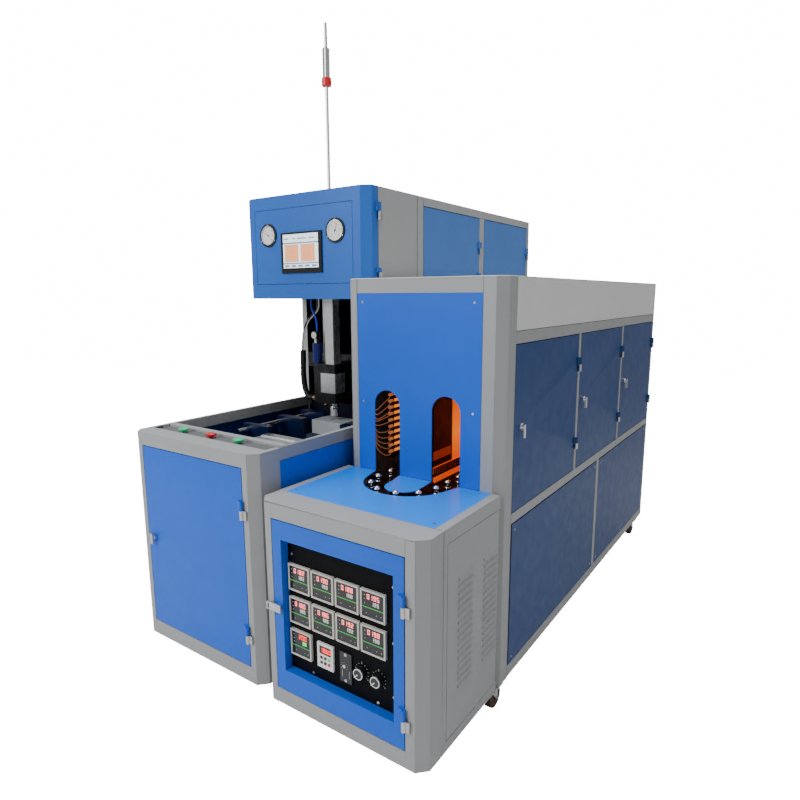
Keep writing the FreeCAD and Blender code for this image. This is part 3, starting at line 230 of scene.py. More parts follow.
@dataclass(frozen=True)
class Paint(Finish):
    """Sprayed, powder coated or moulded surface."""

    roughness: float = 0.4
    coat: float = 0.0
    sheen: float = 0.3
    grain: float = 700.0
    relief: float = 0.02
    shade: float = 0.05

    def mix(self) -> bpy.types.Material:
        """Mixes the paint over the shared skin group."""
        material, w, surface = self.start()
        skin = w.add("ShaderNodeGroup", node_tree=paint_skin())
        for name, value in (("Colour", (*self.colour, 1.0)), ("Roughness", self.roughness),
                            ("Grain Scale", self.grain), ("Shade", self.shade)):
            skin.inputs[name].default_value = value
        bump = w.add("ShaderNodeBump", {"Height": skin.outputs["Height"], "Strength": self.relief,
                                        "Distance": 0.001})
        w.tree.links.new(skin.outputs["Colour"], surface.inputs["Base Color"])
        w.tree.links.new(skin.outputs["Roughness"], surface.inputs["Roughness"])
        w.tree.links.new(bump.outputs["Normal"], surface.inputs["Normal"])
        surface.inputs["Coat Weight"].default_value = self.coat
        surface.inputs["Coat Roughness"].default_value = 0.12
        surface.inputs["Specular IOR Level"].default_value = self.sheen
        return material


@dataclass(frozen=True)
class Metal(Finish):
    """Bare, plated or oxidised metal."""

    roughness: float = 0.25
    stain: Colour = (0.3, 0.3, 0.3)
    stain_amount: float = 0.15
    stretch: Colour = (1.0, 1.0, 0.05)
    relief: float = 0.03

    def mix(self) -> bpy.types.Material:
        """Mixes the metal over the shared tool mark group."""
        material, w, surface = self.start()
        marks = w.add("ShaderNodeGroup", node_tree=tool_marks())
        for name, value in (("Colour", (*self.colour, 1.0)), ("Stain", (*self.stain, 1.0)),
                            ("Stain Amount", self.stain_amount), ("Roughness", self.roughness),
                            ("Stretch", self.stretch)):
            marks.inputs[name].default_value = value
        bump = w.add("ShaderNodeBump", {"Height": marks.outputs["Height"], "Strength": self.relief,
                                        "Distance": 0.0005})
        w.tree.links.new(marks.outputs["Colour"], surface.inputs["Base Color"])
        w.tree.links.new(marks.outputs["Roughness"], surface.inputs["Roughness"])
        w.tree.links.new(bump.outputs["Normal"], surface.inputs["Normal"])
        surface.inputs["Metallic"].default_value = 1.0
        return material


@dataclass(frozen=True)
class Glow(Finish):
    """Lit surface: lamp, digit or display; also the painted glow of lamp light on leads, duct and rails."""

    strength: float = 1.0

    def mix(self) -> bpy.types.Material:
        """Mixes a plain lit surface."""
        material, _, surface = self.start()
        surface.inputs["Base Color"].default_value = (*self.colour, 1.0)
        surface.inputs["Roughness"].default_value = 0.35
        surface.inputs["Emission Color"].default_value = (*self.colour, 1.0)
        surface.inputs["Emission Strength"].default_value = self.strength
        return material


@dataclass(frozen=True)
class HotSheet(Finish):
    """Reflector sheet painted with the lamps' light as a glow: brightest at mid height, dark at the top."""

    hottest: Colour = (1.0, 0.62, 0.05)
    low: float = 0.7
    high: float = 1.0
    strength: float = 2.0

    def mix(self) -> bpy.types.Material:
        """Mixes the sheet with a painted glow of lamp light that changes with height."""
        material, w, surface = self.start()
        place = w.add("ShaderNodeTexCoord")
        split = w.add("ShaderNodeSeparateXYZ", {"Vector": place.outputs["Object"]})
        height = w.add("ShaderNodeMapRange", {"Value": split.outputs["Z"], "From Min": self.low,
                                              "From Max": self.high})
        ramp = w.add("ShaderNodeValToRGB", {"Fac": height.outputs["Result"]})
        stops = ramp.color_ramp.elements
        stops[0].position = 0.0
        stops[0].color = (*self.colour, 1.0)
        stops[1].position = 1.0
        stops[1].color = (*self.colour, 1.0)
        middle = stops.new(0.42)
        middle.color = (*self.hottest, 1.0)
        w.tree.links.new(ramp.outputs["Color"], surface.inputs["Emission Color"])
        w.tree.links.new(ramp.outputs["Color"], surface.inputs["Base Color"])
        surface.inputs["Emission Strength"].default_value = self.strength
        surface.inputs["Roughness"].default_value = 0.5
        return material


@dataclass(frozen=True)
class Backdrop(Finish):
    """Floor that the camera sees as bright as the surround."""

    strength: float = 1.0

    def mix(self) -> bpy.types.Material:
        """Mixes a pale sheet that glows for the camera alone."""
        material, w, surface = self.start()
        seen = w.add("ShaderNodeLightPath")
        glow = w.add("ShaderNodeMath", {0: seen.outputs["Is Camera Ray"], 1: self.strength}, operation="MULTIPLY")
        surface.inputs["Base Color"].default_value = (*self.colour, 1.0)
        surface.inputs["Roughness"].default_value = 0.8
        surface.inputs["Emission Color"].default_value = (1.0, 1.0, 1.0, 1.0)
        w.tree.links.new(glow.outputs["Value"], surface.inputs["Emission Strength"])
        return material


@dataclass(frozen=True)
class Clear(Finish):
    """Glass or clear hose."""

    roughness: float = 0.03
    ior: float = 1.45

    def mix(self) -> bpy.types.Material:
        """Mixes a clear material."""
        material, _, surface = self.start()
        surface.inputs["Base Color"].default_value = (*self.colour, 1.0)
        surface.inputs["Roughness"].default_value = self.roughness
        surface.inputs["IOR"].default_value = self.ior
        surface.inputs["Transmission Weight"].default_value = 1.0
        return material


GREY = Paint("grey_powder_coat", (0.345, 0.355, 0.36), roughness=0.45, relief=0.04, shade=0.03)
BLUE = Paint("blue_powder_coat", (0.003, 0.112, 0.66), roughness=0.40, relief=0.04, shade=0.06)
TABLE_BLUE = Paint("table_blue_gloss", (0.004, 0.24, 0.98), roughness=0.30, relief=0.02, shade=0.03)
DARK_BLUE = Paint("inner_blue_enamel", (0.002, 0.008, 0.040), roughness=0.30, relief=0.03)
NAVY = Paint("navy_gloss_enamel", (0.003, 0.012, 0.13), roughness=0.12, coat=0.5, relief=0.01)
# Lighter copy of the grey paint for the oven hood: painted highlight of the light its top catches.
HOOD_HIGHLIGHT_GREY = Paint("hood_grey_painted_highlight", (0.70, 0.71, 0.70), roughness=0.45, relief=0.04, shade=0.03)
# Darker grey for the floor of the sunken button channel: painted shade.
CHANNEL_SHADE_GREY = Paint("channel_painted_shade", (0.13, 0.135, 0.14), roughness=0.5, relief=0.04)
# Darker copy of the blue paint for the right-hand sides: painted shade of the sides turned away from the light.
SIDE_SHADE_BLUE = Paint("side_blue_painted_shade", (0.010, 0.050, 0.19), roughness=0.42, relief=0.04, shade=0.06)
HEAD_BLUE = Paint("head_blue_powder_coat", (0.020, 0.125, 0.50), roughness=0.40, relief=0.04, shade=0.06)
# Lighter, duller copy of the blue paint for the rear doors: painted light and reflection they catch.
REAR_LIT_BLUE = Paint("rear_blue_painted_light", (0.060, 0.180, 0.52), roughness=0.40, relief=0.04, shade=0.06)
# Darker copy of the blue for the faces inside the well: painted shade.
WELL_SHADE_BLUE = Paint("well_wall_painted_shade", (0.003, 0.025, 0.16), roughness=0.38, relief=0.04)
# Near-black for the inside of the rear cabinet in the bay: painted shade.
BAY_SHADE = Paint("bay_painted_shade", (0.002, 0.004, 0.013), roughness=0.4, relief=0.04)
PANEL_BLACK = Paint("printed_panel_film", (0.0022, 0.0024, 0.0032), roughness=0.6, sheen=0.1, relief=0.06, grain=1100.0)
FACE_BLACK = Paint("meter_face", (0.012, 0.014, 0.014), roughness=0.18, coat=0.5, relief=0.0)
BEZEL = Paint("meter_bezel", (0.60, 0.58, 0.52), roughness=0.45, relief=0.03)
WHITE = Paint("white_plastic", (0.80, 0.80, 0.77), roughness=0.4, relief=0.02)
PRINT = Paint("white_print", (0.75, 0.75, 0.73), roughness=0.5, relief=0.0)
MINT = Paint("mint_button_plastic", (0.02, 0.62, 0.22), roughness=0.28, coat=0.3, relief=0.0)
RED = Paint("red_button_plastic", (0.62, 0.012, 0.015), roughness=0.28, coat=0.3, relief=0.0)
PEDAL_RED = Paint("dark_pedal_red", (0.090, 0.006, 0.005), roughness=0.35, relief=0.02)
RUBBER = Paint("black_hose_rubber", (0.010, 0.010, 0.011), roughness=0.48, relief=0.10, grain=900.0)
TREAD = Paint("wheel_tread_rubber", (0.085, 0.045, 0.030), roughness=0.6, relief=0.10)
TUBE_BLUE = Paint("blue_air_tube", (0.01, 0.04, 0.60), roughness=0.2, coat=0.4, relief=0.0)
# Orange lead sleeves made to glow: painted light of the lamps falling on them.
LEAD_GLOW = Glow("lamp_lead_painted_glow", (0.90, 0.30, 0.12), strength=0.32)
BLACK_OXIDE = Metal("black_oxide_steel", (0.035, 0.035, 0.038), roughness=0.38, stain_amount=0.1)
CHROME = Metal("polished_chrome", (0.82, 0.83, 0.85), roughness=0.09, stain_amount=0.03, relief=0.005)
ZINC = Metal("zinc_plate", (0.62, 0.62, 0.60), roughness=0.30, stain_amount=0.25)
ALUMINIUM = Metal("anodised_aluminium", (0.78, 0.79, 0.80), roughness=0.30, stain_amount=0.05)
MOULD_STEEL = Paint("ground_mould_steel", (0.34, 0.37, 0.39), roughness=0.3, sheen=0.6, relief=0.03, shade=0.2)
DARK_STEEL = Metal("oiled_chain_steel", (0.10, 0.085, 0.075), roughness=0.35, stain=(0.30, 0.14, 0.08),
                   stain_amount=0.5)
OVEN_STEEL = Metal("heat_dark_sheet", (0.075, 0.020, 0.012), roughness=0.5, stain=(0.02, 0.006, 0.004),
                   stain_amount=0.7)
BRASS = Metal("turned_brass", (0.76, 0.56, 0.26), roughness=0.22, stain=(0.45, 0.30, 0.12))
BRONZE = Paint("brown_base_plate", (0.085, 0.055, 0.040), roughness=0.45, relief=0.05)
GLASS = Clear("gauge_glass", (0.97, 0.98, 0.98))
HOSE = Clear("clear_hose", (0.86, 0.88, 0.88), roughness=0.1)
LAMP = Glow("hot_quartz", (1.0, 0.27, 0.0), strength=1.1)
# Right reflector sheet: painted lamp light, brightest at lamp height.
REFLECTOR_LAMPLIGHT = HotSheet("reflector_painted_lamplight", (0.70, 0.05, 0.0), hottest=(1.0, 0.22, 0.0), low=0.80, high=1.12,
                     strength=0.75)
# Streak of lamp light along the air duct: painted light.
DUCT_LAMPLIGHT_STREAK = Glow("lit_streak", (0.30, 0.018, 0.0), strength=0.5)
# Guide rails made to glow red: painted reflection of the lamps.
RAIL_LAMPLIGHT = Glow("rail_painted_lamplight", (0.9, 0.09, 0.0), strength=0.65)
PINK_DIGIT = Glow("pink_digits", (1.0, 0.30, 0.30), strength=1.3)
PALE_DIGIT = Glow("pale_digits", (0.62, 0.66, 0.60), strength=0.55)
RED_DIGIT = Glow("red_digits", (1.0, 0.03, 0.02), strength=1.5)
GREEN_DIGIT = Glow("green_digits", (0.05, 0.9, 0.25), strength=1.0)
GREEN_LINE = Glow("green_line", (0.03, 0.42, 0.06), strength=0.35)
PAGE = Glow("screen_page", (0.78, 0.86, 0.86), strength=0.95)
PAGE_BAND = Glow("screen_band", (0.14, 0.26, 0.46), strength=0.5)
PAGE_BOX = Glow("screen_box", (0.95, 0.36, 0.13), strength=0.75)
def vec(x: float, y: float, z: float) -> Vector:
    """Gives a vector of three numbers in metres."""
    return Vector((x, y, z))


class Form:
    """A mesh put together from closed shapes, each in the finish chosen last."""

    def __init__(self, finish: Finish) -> None:
        """Starts an empty form.

        Args:
            finish: the finish of the first shapes.
        """
        self.mesh = bmesh.new()
        self.finishes = [finish]
        self.chosen = 0

    def use(self, finish: Finish) -> "Form":
        """Chooses the finish of the next shapes."""
        if finish not in self.finishes:
            self.finishes.append(finish)
        self.chosen = self.finishes.index(finish)
        return self

    def mark(self, vertices: Iterable[bmesh.types.BMVert]) -> None:
        """Gives the faces of new vertices the chosen finish."""
        for face in {face for vertex in vertices for face in vertex.link_faces}:
            face.material_index = self.chosen

    def box(self, low: Vector, high: Vector) -> "Form":
        """Adds an upright box between two corners."""
        place = Matrix.LocRotScale((low + high) / 2, None, high - low)
        self.mark(bmesh.ops.create_cube(self.mesh, size=1.0, matrix=place)["verts"])
        return self

    def cone(self, start: Vector, end: Vector, radius: float, top: float, sides: int = 24) -> "Form":
        """Adds a closed cone or cylinder.

        Args:
            start: centre of the first end.
            end: centre of the other end.
            radius: radius at the start.
            top: radius at the end.
            sides: number of flats.

        Returns:
            The form itself.
        """
        turn = (end - start).to_track_quat("Z", "Y")
        place = Matrix.LocRotScale((start + end) / 2, turn, None)
        made = bmesh.ops.create_cone(self.mesh, cap_ends=True, segments=sides, radius1=radius, radius2=top,
                                     depth=(end - start).length, matrix=place)
        self.mark(made["verts"])
        return self

    def rod(self, start: Vector, end: Vector, radius: float, sides: int = 24) -> "Form":
        """Adds a closed cylinder."""
        return self.cone(start, end, radius, radius, sides)

    def ball(self, centre: Vector, radius: float, squash: float = 1.0) -> "Form":
        """Adds a ball, flattened along Z where squash is below 1."""
        place = Matrix.LocRotScale(centre, None, vec(1, 1, squash))
        made = bmesh.ops.create_uvsphere(self.mesh, u_segments=24, v_segments=12, radius=radius, matrix=place)
        self.mark(made["verts"])
        return self

    def ring(self, start: Vector, end: Vector, outer: float, inner: float, sides: int = 40) -> "Form":
        """Adds a closed ring with a round hole, along the line from start to end."""
        turn = (end - start).to_track_quat("Z", "Y").to_matrix()
        loops = []
        for centre, radius in ((start, outer), (end, outer), (end, inner), (start, inner)):
            loop = []
            for index in range(sides):
                angle = math.tau * index / sides
                loop.append(self.mesh.verts.new(centre + turn @ vec(radius * math.cos(angle),
                                                                    radius * math.sin(angle), 0)))
            loops.append(loop)
        for near, far in zip(loops, loops[1:] + loops[:1]):
            for index in range(sides):
                after = (index + 1) % sides
                face = self.mesh.faces.new((near[index], near[after], far[after], far[index]))
                face.material_index = self.chosen
        return self

    def words(self, text: str, centre: Vector, height: float, depth: float = 0.0004) -> "Form":
        """Adds plain figures that face the operator, centred on a point."""
        curve = bpy.data.curves.new("figures", "FONT")
        curve.body = text
        curve.size = height
        curve.extrude = depth / 2
        curve.align_x = "CENTER"
        curve.align_y = "CENTER"
        holder = bpy.data.objects.new("figures", curve)
        bpy.context.scene.collection.objects.link(holder)
        flat = bpy.data.meshes.new_from_object(holder.evaluated_get(bpy.context.evaluated_depsgraph_get()))
        flat.transform(Matrix.Translation(centre) @ Matrix.Rotation(math.pi / 2, 4, "X"))
        before = set(self.mesh.faces)
        self.mesh.from_mesh(flat)
        for face in self.mesh.faces:
            if face not in before:
                face.material_index = self.chosen
        bpy.data.objects.remove(holder)
        bpy.data.curves.remove(curve)
        bpy.data.meshes.remove(flat)
        return self

    def build(self, name: str, round_edges: float = 0.0) -> bpy.types.Object:
        """Turns the form into an object.

        Args:
            name: the object's name.
            round_edges: radius of the small round on sharp edges, 0 for none.

        Returns:
            The object, linked to the scene.
        """
        bmesh.ops.recalc_face_normals(self.mesh, faces=self.mesh.faces)
        data = bpy.data.meshes.new(name)
        self.mesh.to_mesh(data)
        self.mesh.free()
        for finish in self.finishes:
            data.materials.append(Shop.material(finish))
        return rounded(link(name, data), round_edges)


def link(name: str, data: bpy.types.Mesh) -> bpy.types.Object:
    """Puts a mesh into the scene as an object."""
    made = bpy.data.objects.new(name, data)
    bpy.context.scene.collection.objects.link(made)
    return made


def rounded(piece: bpy.types.Object, radius: float) -> bpy.types.Object:
    """Rounds a piece's sharp edges and smooths its curved faces.

    Args:
        piece: the object to finish.
        radius: radius of the edges, 0 for none.

    Returns:
        The same object with a plain mesh.
    """
    piece.data.shade_smooth()
    piece.data.set_sharp_from_angle(angle=math.radians(28))
    if radius > 0.0:
        edge = piece.modifiers.new("edge", "BEVEL")
        edge.width = radius
        edge.segments = 2
        edge.limit_method = "ANGLE"
        edge.angle_limit = math.radians(28)
        edge.harden_normals = True
        plain(piece)
    return piece


def plain(piece: bpy.types.Object) -> bpy.types.Object:
    """Replaces a piece's mesh by its evaluated one and takes its modifiers off."""
    shape = piece.evaluated_get(bpy.context.evaluated_depsgraph_get())
    data = bpy.data.meshes.new_from_object(shape)
    piece.modifiers.clear()
    piece.data = data
    return piece


def seat(piece: bpy.types.Object, body: str, slot: str, *nodes: str) -> bpy.types.Object:
    """Fixes a piece to its body and takes the place of CAD nodes.

    Args:
        piece: the object, finished and in place.
        body: the body that it moves with.
        slot: the record's material slot, not used.
        *nodes: CAD nodes that it stands for.

    Returns:
        The piece.
    """
    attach(piece, body)
    if nodes:
        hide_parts(*nodes)
    return piece


@dataclass(frozen=True)
class Spot:
    """Where one face lies: its own middle and way, and the corners of its solid."""

    middle: Vector
    normal: Vector
    low: Vector
    high: Vector


def welded(node: str) -> bmesh.types.BMesh:
    """Copies a CAD node's mesh with its seams closed."""
    mesh = bmesh.new()
    mesh.from_mesh(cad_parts[node].data)
    bmesh.ops.remove_doubles(mesh, verts=mesh.verts, dist=0.00002)
    return mesh


def shells(mesh: bmesh.types.BMesh) -> list[list[bmesh.types.BMFace]]:
    """Finds the separate solids of a mesh, each as a list of faces."""
    found = []
    left = set(mesh.faces)
    while left:
        shell = [left.pop()]
        for face in shell:
            for other in (other for edge in face.edges for other in edge.link_faces):
                if other in left:
                    left.remove(other)
                    shell.append(other)
        found.append(shell)
    return found


def corners(shell: Sequence[bmesh.types.BMFace]) -> tuple[Vector, Vector]:
    """Gives the lowest and highest corner of a set of faces."""
    places = [vertex.co for face in shell for vertex in face.verts]
    return Vector(map(min, *places)), Vector(map(max, *places))


def softened(node: str, finish: Finish, radius: float, body: str, slot: str,
             pick: Callable[[Spot], Finish | None] | None = None) -> bpy.types.Object:
    """Copies a CAD node with its edges rounded and stands in for it.

    Args:
        node: the CAD node.
        finish: the finish of the copy.
        radius: edge radius in metres.
        body: the body it moves with.
        slot: the record's material slot.
        pick: gives the finish of a face where it differs from the rest, or None.

    Returns:
        The copy.
    """
    source = welded(node)
    bmesh.ops.dissolve_limit(source, angle_limit=math.radians(0.5), verts=source.verts, edges=source.edges)
    finishes = [finish]
    for shell in shells(source):
        low, high = corners(shell)
        for face in shell:
            own = pick(Spot(face.calc_center_median(), face.normal, low, high)) if pick else None
            if own and own not in finishes:
                finishes.append(own)
            face.material_index = finishes.index(own) if own else 0
    data = bpy.data.meshes.new(node + "_skin")
    source.to_mesh(data)
    source.free()
    for each in finishes:
        data.materials.append(Shop.material(each))
    return seat(rounded(link(node + "_skin", data), radius), body, slot, node)


def refinish(node: str, finish: Finish) -> None:
    """Gives a CAD node its finish through its object's slots."""
    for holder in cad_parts[node].material_slots:
        holder.link = "OBJECT"
        holder.material = Shop.material(finish)


def islands(node: str) -> list[tuple[Vector, Vector]]:
    """Gives the lowest and highest corner of each solid of a CAD node."""
    mesh = welded(node)
    boxes = [corners(shell) for shell in shells(mesh)]
    mesh.free()
    return boxes


# ---- what repeats ---------------------------------------------------------------------
class Facing(Enum):
    """Way that a small part points, as the turn that brings +Z there."""

    UP = (0.0, 0.0, 0.0)
    OPERATOR = (math.pi / 2, 0.0, 0.0)
    RIGHT = (0.0, math.pi / 2, 0.0)
    LEFT = (0.0, -math.pi / 2, 0.0)
    DOWN = (math.pi, 0.0, 0.0)


def points_tree() -> bpy.types.NodeTree:
    """Geometry tree that puts one small part on each point, turned by the point's own turn.

    Returns:
        The tree, built once.
    """
    found = bpy.data.node_groups.get("parts_on_points")
    if found:
        return found
    tree = bpy.data.node_groups.new("parts_on_points", "GeometryNodeTree")
    tree.is_modifier = True
    w = Wiring(tree)
    w.socket("Points", "Geometry")
    w.socket("Part", "Object")
    w.socket("Size", "Float", value=1.0)
    w.socket("Spin", "Float", value=1.0)
    w.socket("Spin Seed", "Int", value=7)
    w.socket("Finish", "Material")
    w.socket("Parts", "Geometry", output=True)
    ends = w.add("NodeGroupInput")
    points = w.add("GeometryNodeMeshToPoints", {"Mesh": ends.outputs["Points"]})
    own_turn = w.add("GeometryNodeInputNamedAttribute", {"Name": "turn"}, data_type="FLOAT_VECTOR")
    facing = w.add("FunctionNodeEulerToRotation", {"Euler": own_turn.outputs["Attribute"]})
    chance = w.add("FunctionNodeRandomValue", {"Seed": ends.outputs["Spin Seed"]}, data_type="FLOAT")
    angle = w.add("ShaderNodeMath", {0: chance.outputs[1], 1: ends.outputs["Spin"]}, operation="MULTIPLY")
    full = w.add("ShaderNodeMath", {0: angle.outputs["Value"], 1: math.tau}, operation="MULTIPLY")
    spin = w.add("FunctionNodeAxisAngleToRotation", {"Axis": (0.0, 0.0, 1.0), "Angle": full.outputs["Value"]})
    turned = w.add("FunctionNodeRotateRotation", {"Rotation": facing.outputs["Rotation"],
                                                  "Rotate By": spin.outputs["Rotation"]},
                   rotation_space="LOCAL")
    part = w.add("GeometryNodeObjectInfo", {"Object": ends.outputs["Part"]})
    copies = w.add("GeometryNodeInstanceOnPoints", {
        "Points": points.outputs["Points"], "Instance": part.outputs["Geometry"],
        "Rotation": turned.outputs["Rotation"], "Scale": ends.outputs["Size"]})
    real = w.add("GeometryNodeRealizeInstances", {"Geometry": copies.outputs["Instances"]})
    dressed = w.add("GeometryNodeSetMaterial", {"Geometry": real.outputs["Geometry"],
                                                "Material": ends.outputs["Finish"]})
    w.add("NodeGroupOutput", {"Parts": dressed.outputs["Geometry"]})
    return tree


def leads_tree() -> bpy.types.NodeTree:
    """Geometry tree for a column of thin leads that sag from a loom to the lamp ends.

    Returns:
        The tree, built once.
    """
    found = bpy.data.node_groups.get("lamp_leads")
    if found:
        return found
    tree = bpy.data.node_groups.new("lamp_leads", "GeometryNodeTree")
    tree.is_modifier = True
    w = Wiring(tree)
    w.socket("Lamp Ends", "Geometry")
    w.socket("Loom", "Vector", value=(0.0, 0.0, 0.0))
    w.socket("Gather", "Float", value=0.45)
    w.socket("Sag", "Float", value=0.02)
    w.socket("Lead Radius", "Float", value=0.001)
    w.socket("Uneven Seed", "Int", value=3)
    w.socket("Finish", "Material")
    w.socket("Leads", "Geometry", output=True)
    ends = w.add("NodeGroupInput")
    line = w.add("GeometryNodeCurvePrimitiveLine", {"Start": (0.0, 0.0, 0.0), "End": (0.0, 0.0, 1.0)})
    steps = w.add("GeometryNodeResampleCurve", {"Curve": line.outputs["Curve"], "Count": 14})
    share = w.add("GeometryNodeSplineParameter")
    kept = w.add("GeometryNodeCaptureAttribute", {"Geometry": steps.outputs["Curve"]})
    kept.capture_items.new("FLOAT", "share")
    w.tree.links.new(share.outputs["Factor"], kept.inputs[1])
    copies = w.add("GeometryNodeInstanceOnPoints", {"Points": ends.outputs["Lamp Ends"],
                                                    "Instance": kept.outputs["Geometry"],
                                                    "Scale": (0.0, 0.0, 0.0)})
    rank = w.add("FunctionNodeRandomValue", {"Min": 0.3, "Max": 1.6, "Seed": ends.outputs["Uneven Seed"]},
                 data_type="FLOAT")
    own = w.add("GeometryNodeStoreNamedAttribute", {"Geometry": copies.outputs["Instances"],
                                                    "Name": "uneven", "Value": rank.outputs[1]},
                data_type="FLOAT", domain="INSTANCE")
    real = w.add("GeometryNodeRealizeInstances", {"Geometry": own.outputs["Geometry"]})
    at = w.add("GeometryNodeInputPosition")
    uneven = w.add("GeometryNodeInputNamedAttribute", {"Name": "uneven"}, data_type="FLOAT")
    back = w.add("ShaderNodeVectorMath", {0: ends.outputs["Loom"], 1: at.outputs["Position"]},
                 operation="SUBTRACT")
    split = w.add("ShaderNodeSeparateXYZ", {"Vector": back.outputs["Vector"]})
    drawn_in = w.add("ShaderNodeMath", {0: split.outputs["Z"], 1: ends.outputs["Gather"]},
                     operation="MULTIPLY")
    bow = w.add("ShaderNodeFloatCurve", {"Value": kept.outputs[1]})
    points = bow.mapping.curves[0].points
    points[0].location = (0.0, 0.0)
    points[1].location = (1.0, 0.0)
    points.new(0.5, 1.0)
    bow.mapping.update()
    sag = w.add("ShaderNodeMath", {0: bow.outputs["Value"], 1: ends.outputs["Sag"]}, operation="MULTIPLY")
    own_sag = w.add("ShaderNodeMath", {0: sag.outputs["Value"], 1: uneven.outputs["Attribute"]},
                    operation="MULTIPLY")
    square = w.add("ShaderNodeMath", {0: kept.outputs[1], 1: 1.6}, operation="POWER")
    rise = w.add("ShaderNodeMath", {0: drawn_in.outputs["Value"], 1: square.outputs["Value"]},
                 operation="MULTIPLY")
    lift = w.add("ShaderNodeMath", {0: rise.outputs["Value"], 1: own_sag.outputs["Value"]},
                 operation="SUBTRACT")
    along_x = w.add("ShaderNodeMath", {0: split.outputs["X"], 1: kept.outputs[1]}, operation="MULTIPLY")
    along_y = w.add("ShaderNodeMath", {0: split.outputs["Y"], 1: kept.outputs[1]}, operation="MULTIPLY")
    shift = w.add("ShaderNodeCombineXYZ", {"X": along_x.outputs["Value"], "Y": along_y.outputs["Value"],
                                           "Z": lift.outputs["Value"]})
    bent = w.add("GeometryNodeSetPosition", {"Geometry": real.outputs["Geometry"],
                                             "Offset": shift.outputs["Vector"]})
    section = w.add("GeometryNodeCurvePrimitiveCircle", {"Resolution": 6, "Radius": ends.outputs["Lead Radius"]})
    tube = w.add("GeometryNodeCurveToMesh", {"Curve": bent.outputs["Geometry"],
                                             "Profile Curve": section.outputs["Curve"], "Fill Caps": True})
    whole = w.add("GeometryNodeRealizeInstances", {"Geometry": tube.outputs["Mesh"]})
    dressed = w.add("GeometryNodeSetMaterial", {"Geometry": whole.outputs["Geometry"],
                                                "Material": ends.outputs["Finish"]})
    w.add("NodeGroupOutput", {"Leads": dressed.outputs["Geometry"]})
    return tree


def grow(name: str, spots: Sequence[tuple[Vector, Colour]], tree: bpy.types.NodeTree,
         values: dict[str, object]) -> bpy.types.Object:
    """Runs a geometry tree over a set of points and keeps the result as a plain mesh.

    Args:
        name: name of the new piece.
        spots: place and turn of each point.
        tree: the geometry tree.
        values: the tree's named inputs.

    Returns:
        The new piece.
    """
    data = bpy.data.meshes.new(name)
    data.from_pydata([place for place, _ in spots], [], [])
    turn = data.attributes.new("turn", "FLOAT_VECTOR", "POINT")
    turn.data.foreach_set("vector", [part for _, angles in spots for part in angles])
    piece = link(name, data)
    nodes = piece.modifiers.new("nodes", "NODES")
    nodes.node_group = tree
    sockets = {item.name: item.identifier for item in tree.interface.items_tree if item.in_out == "INPUT"}
    for key, value in values.items():
        nodes[sockets[key]] = value
    return rounded(plain(piece), 0.0)


def scatter(name: str, pattern: Form, spots: Sequence[tuple[Vector, Colour]], finish: Finish, body: str,
            slot: str, spin: float = 1.0) -> bpy.types.Object:
    """Puts copies of a small form on many spots of one body.

    Args:
        name: name of the new piece.
        pattern: the form, standing on the origin and pointing up.
        spots: place and turn of each copy.
        finish: their finish.
        body: the body they move with.
        slot: the record's material slot.
        spin: share of a full turn that each may be spun by.

    Returns:
        The new piece.
    """
    part = pattern.build("pattern")
    piece = grow(name, spots, points_tree(), {"Part": part, "Size": 1.0, "Spin": spin, "Spin Seed": 7,
                                              "Finish": Shop.material(finish)})
    bpy.data.objects.remove(part)
    return seat(piece, body, slot)


@dataclass
class Screw:
    """Low round screw head with a cross slot, standing on the origin."""

    radius: float = 0.0032
    height: float = 0.0018

    def form(self) -> Form:
        """Builds the head out of four raised quarters on a low disc."""
        form = Form(ZINC)
        form.rod(vec(0, 0, 0), vec(0, 0, self.height * 0.55), self.radius, 16)
        gap = self.radius * 0.12
        arm = self.radius * 0.66
        for side_x in (-1, 1):
            for side_y in (-1, 1):
                low = vec(min(side_x * gap, side_x * arm), min(side_y * gap, side_y * arm),
                          self.height * 0.5)
                high = vec(max(side_x * gap, side_x * arm), max(side_y * gap, side_y * arm), self.height)
                form.box(low, high)
        return form


# ---- control door ---------------------------------------------------------------------
SEGMENTS = {"0": "abcdef", "1": "bc", "2": "abged", "3": "abgcd", "4": "fgbc", "5": "afgcd", "6": "afgedc",
            "7": "abc", "8": "abcdefg", "9": "abcdfg"}


@dataclass
class Readout:
    """A row of seven-bar figures that faces the operator."""

    height: float
    lean: float = 0.58
    stroke: float = 0.17
    pitch: float = 0.80
    depth: float = 0.0003

    def bars(self) -> dict[str, tuple[float, float, float, float]]:
        """Gives each bar's left, right, bottom and top within a figure one unit high."""
        w, t = self.lean, self.stroke
        return {"a": (0, w, 1 - t, 1), "g": (0, w, 0.5 - t / 2, 0.5 + t / 2), "d": (0, w, 0, t),
                "f": (0, t, 0.5, 1), "e": (0, t, 0, 0.5), "b": (w - t, w, 0.5, 1), "c": (w - t, w, 0, 0.5)}

    def write(self, form: Form, figures: str, corner: Vector) -> None:
        """Adds the figures to a form.

        Args:
            form: the form to add to, with the lit finish chosen.
            figures: the number, as text.
            corner: lower left corner on the face.
        """
        for place, figure in enumerate(figures):
            for bar in SEGMENTS[figure]:
                left, right, bottom, top = self.bars()[bar]
                shift = place * self.pitch
                low = corner + vec((left + shift) * self.height, -self.depth, bottom * self.height)
                high = corner + vec((right + shift) * self.height, 0, top * self.height)
                form.box(low, high)


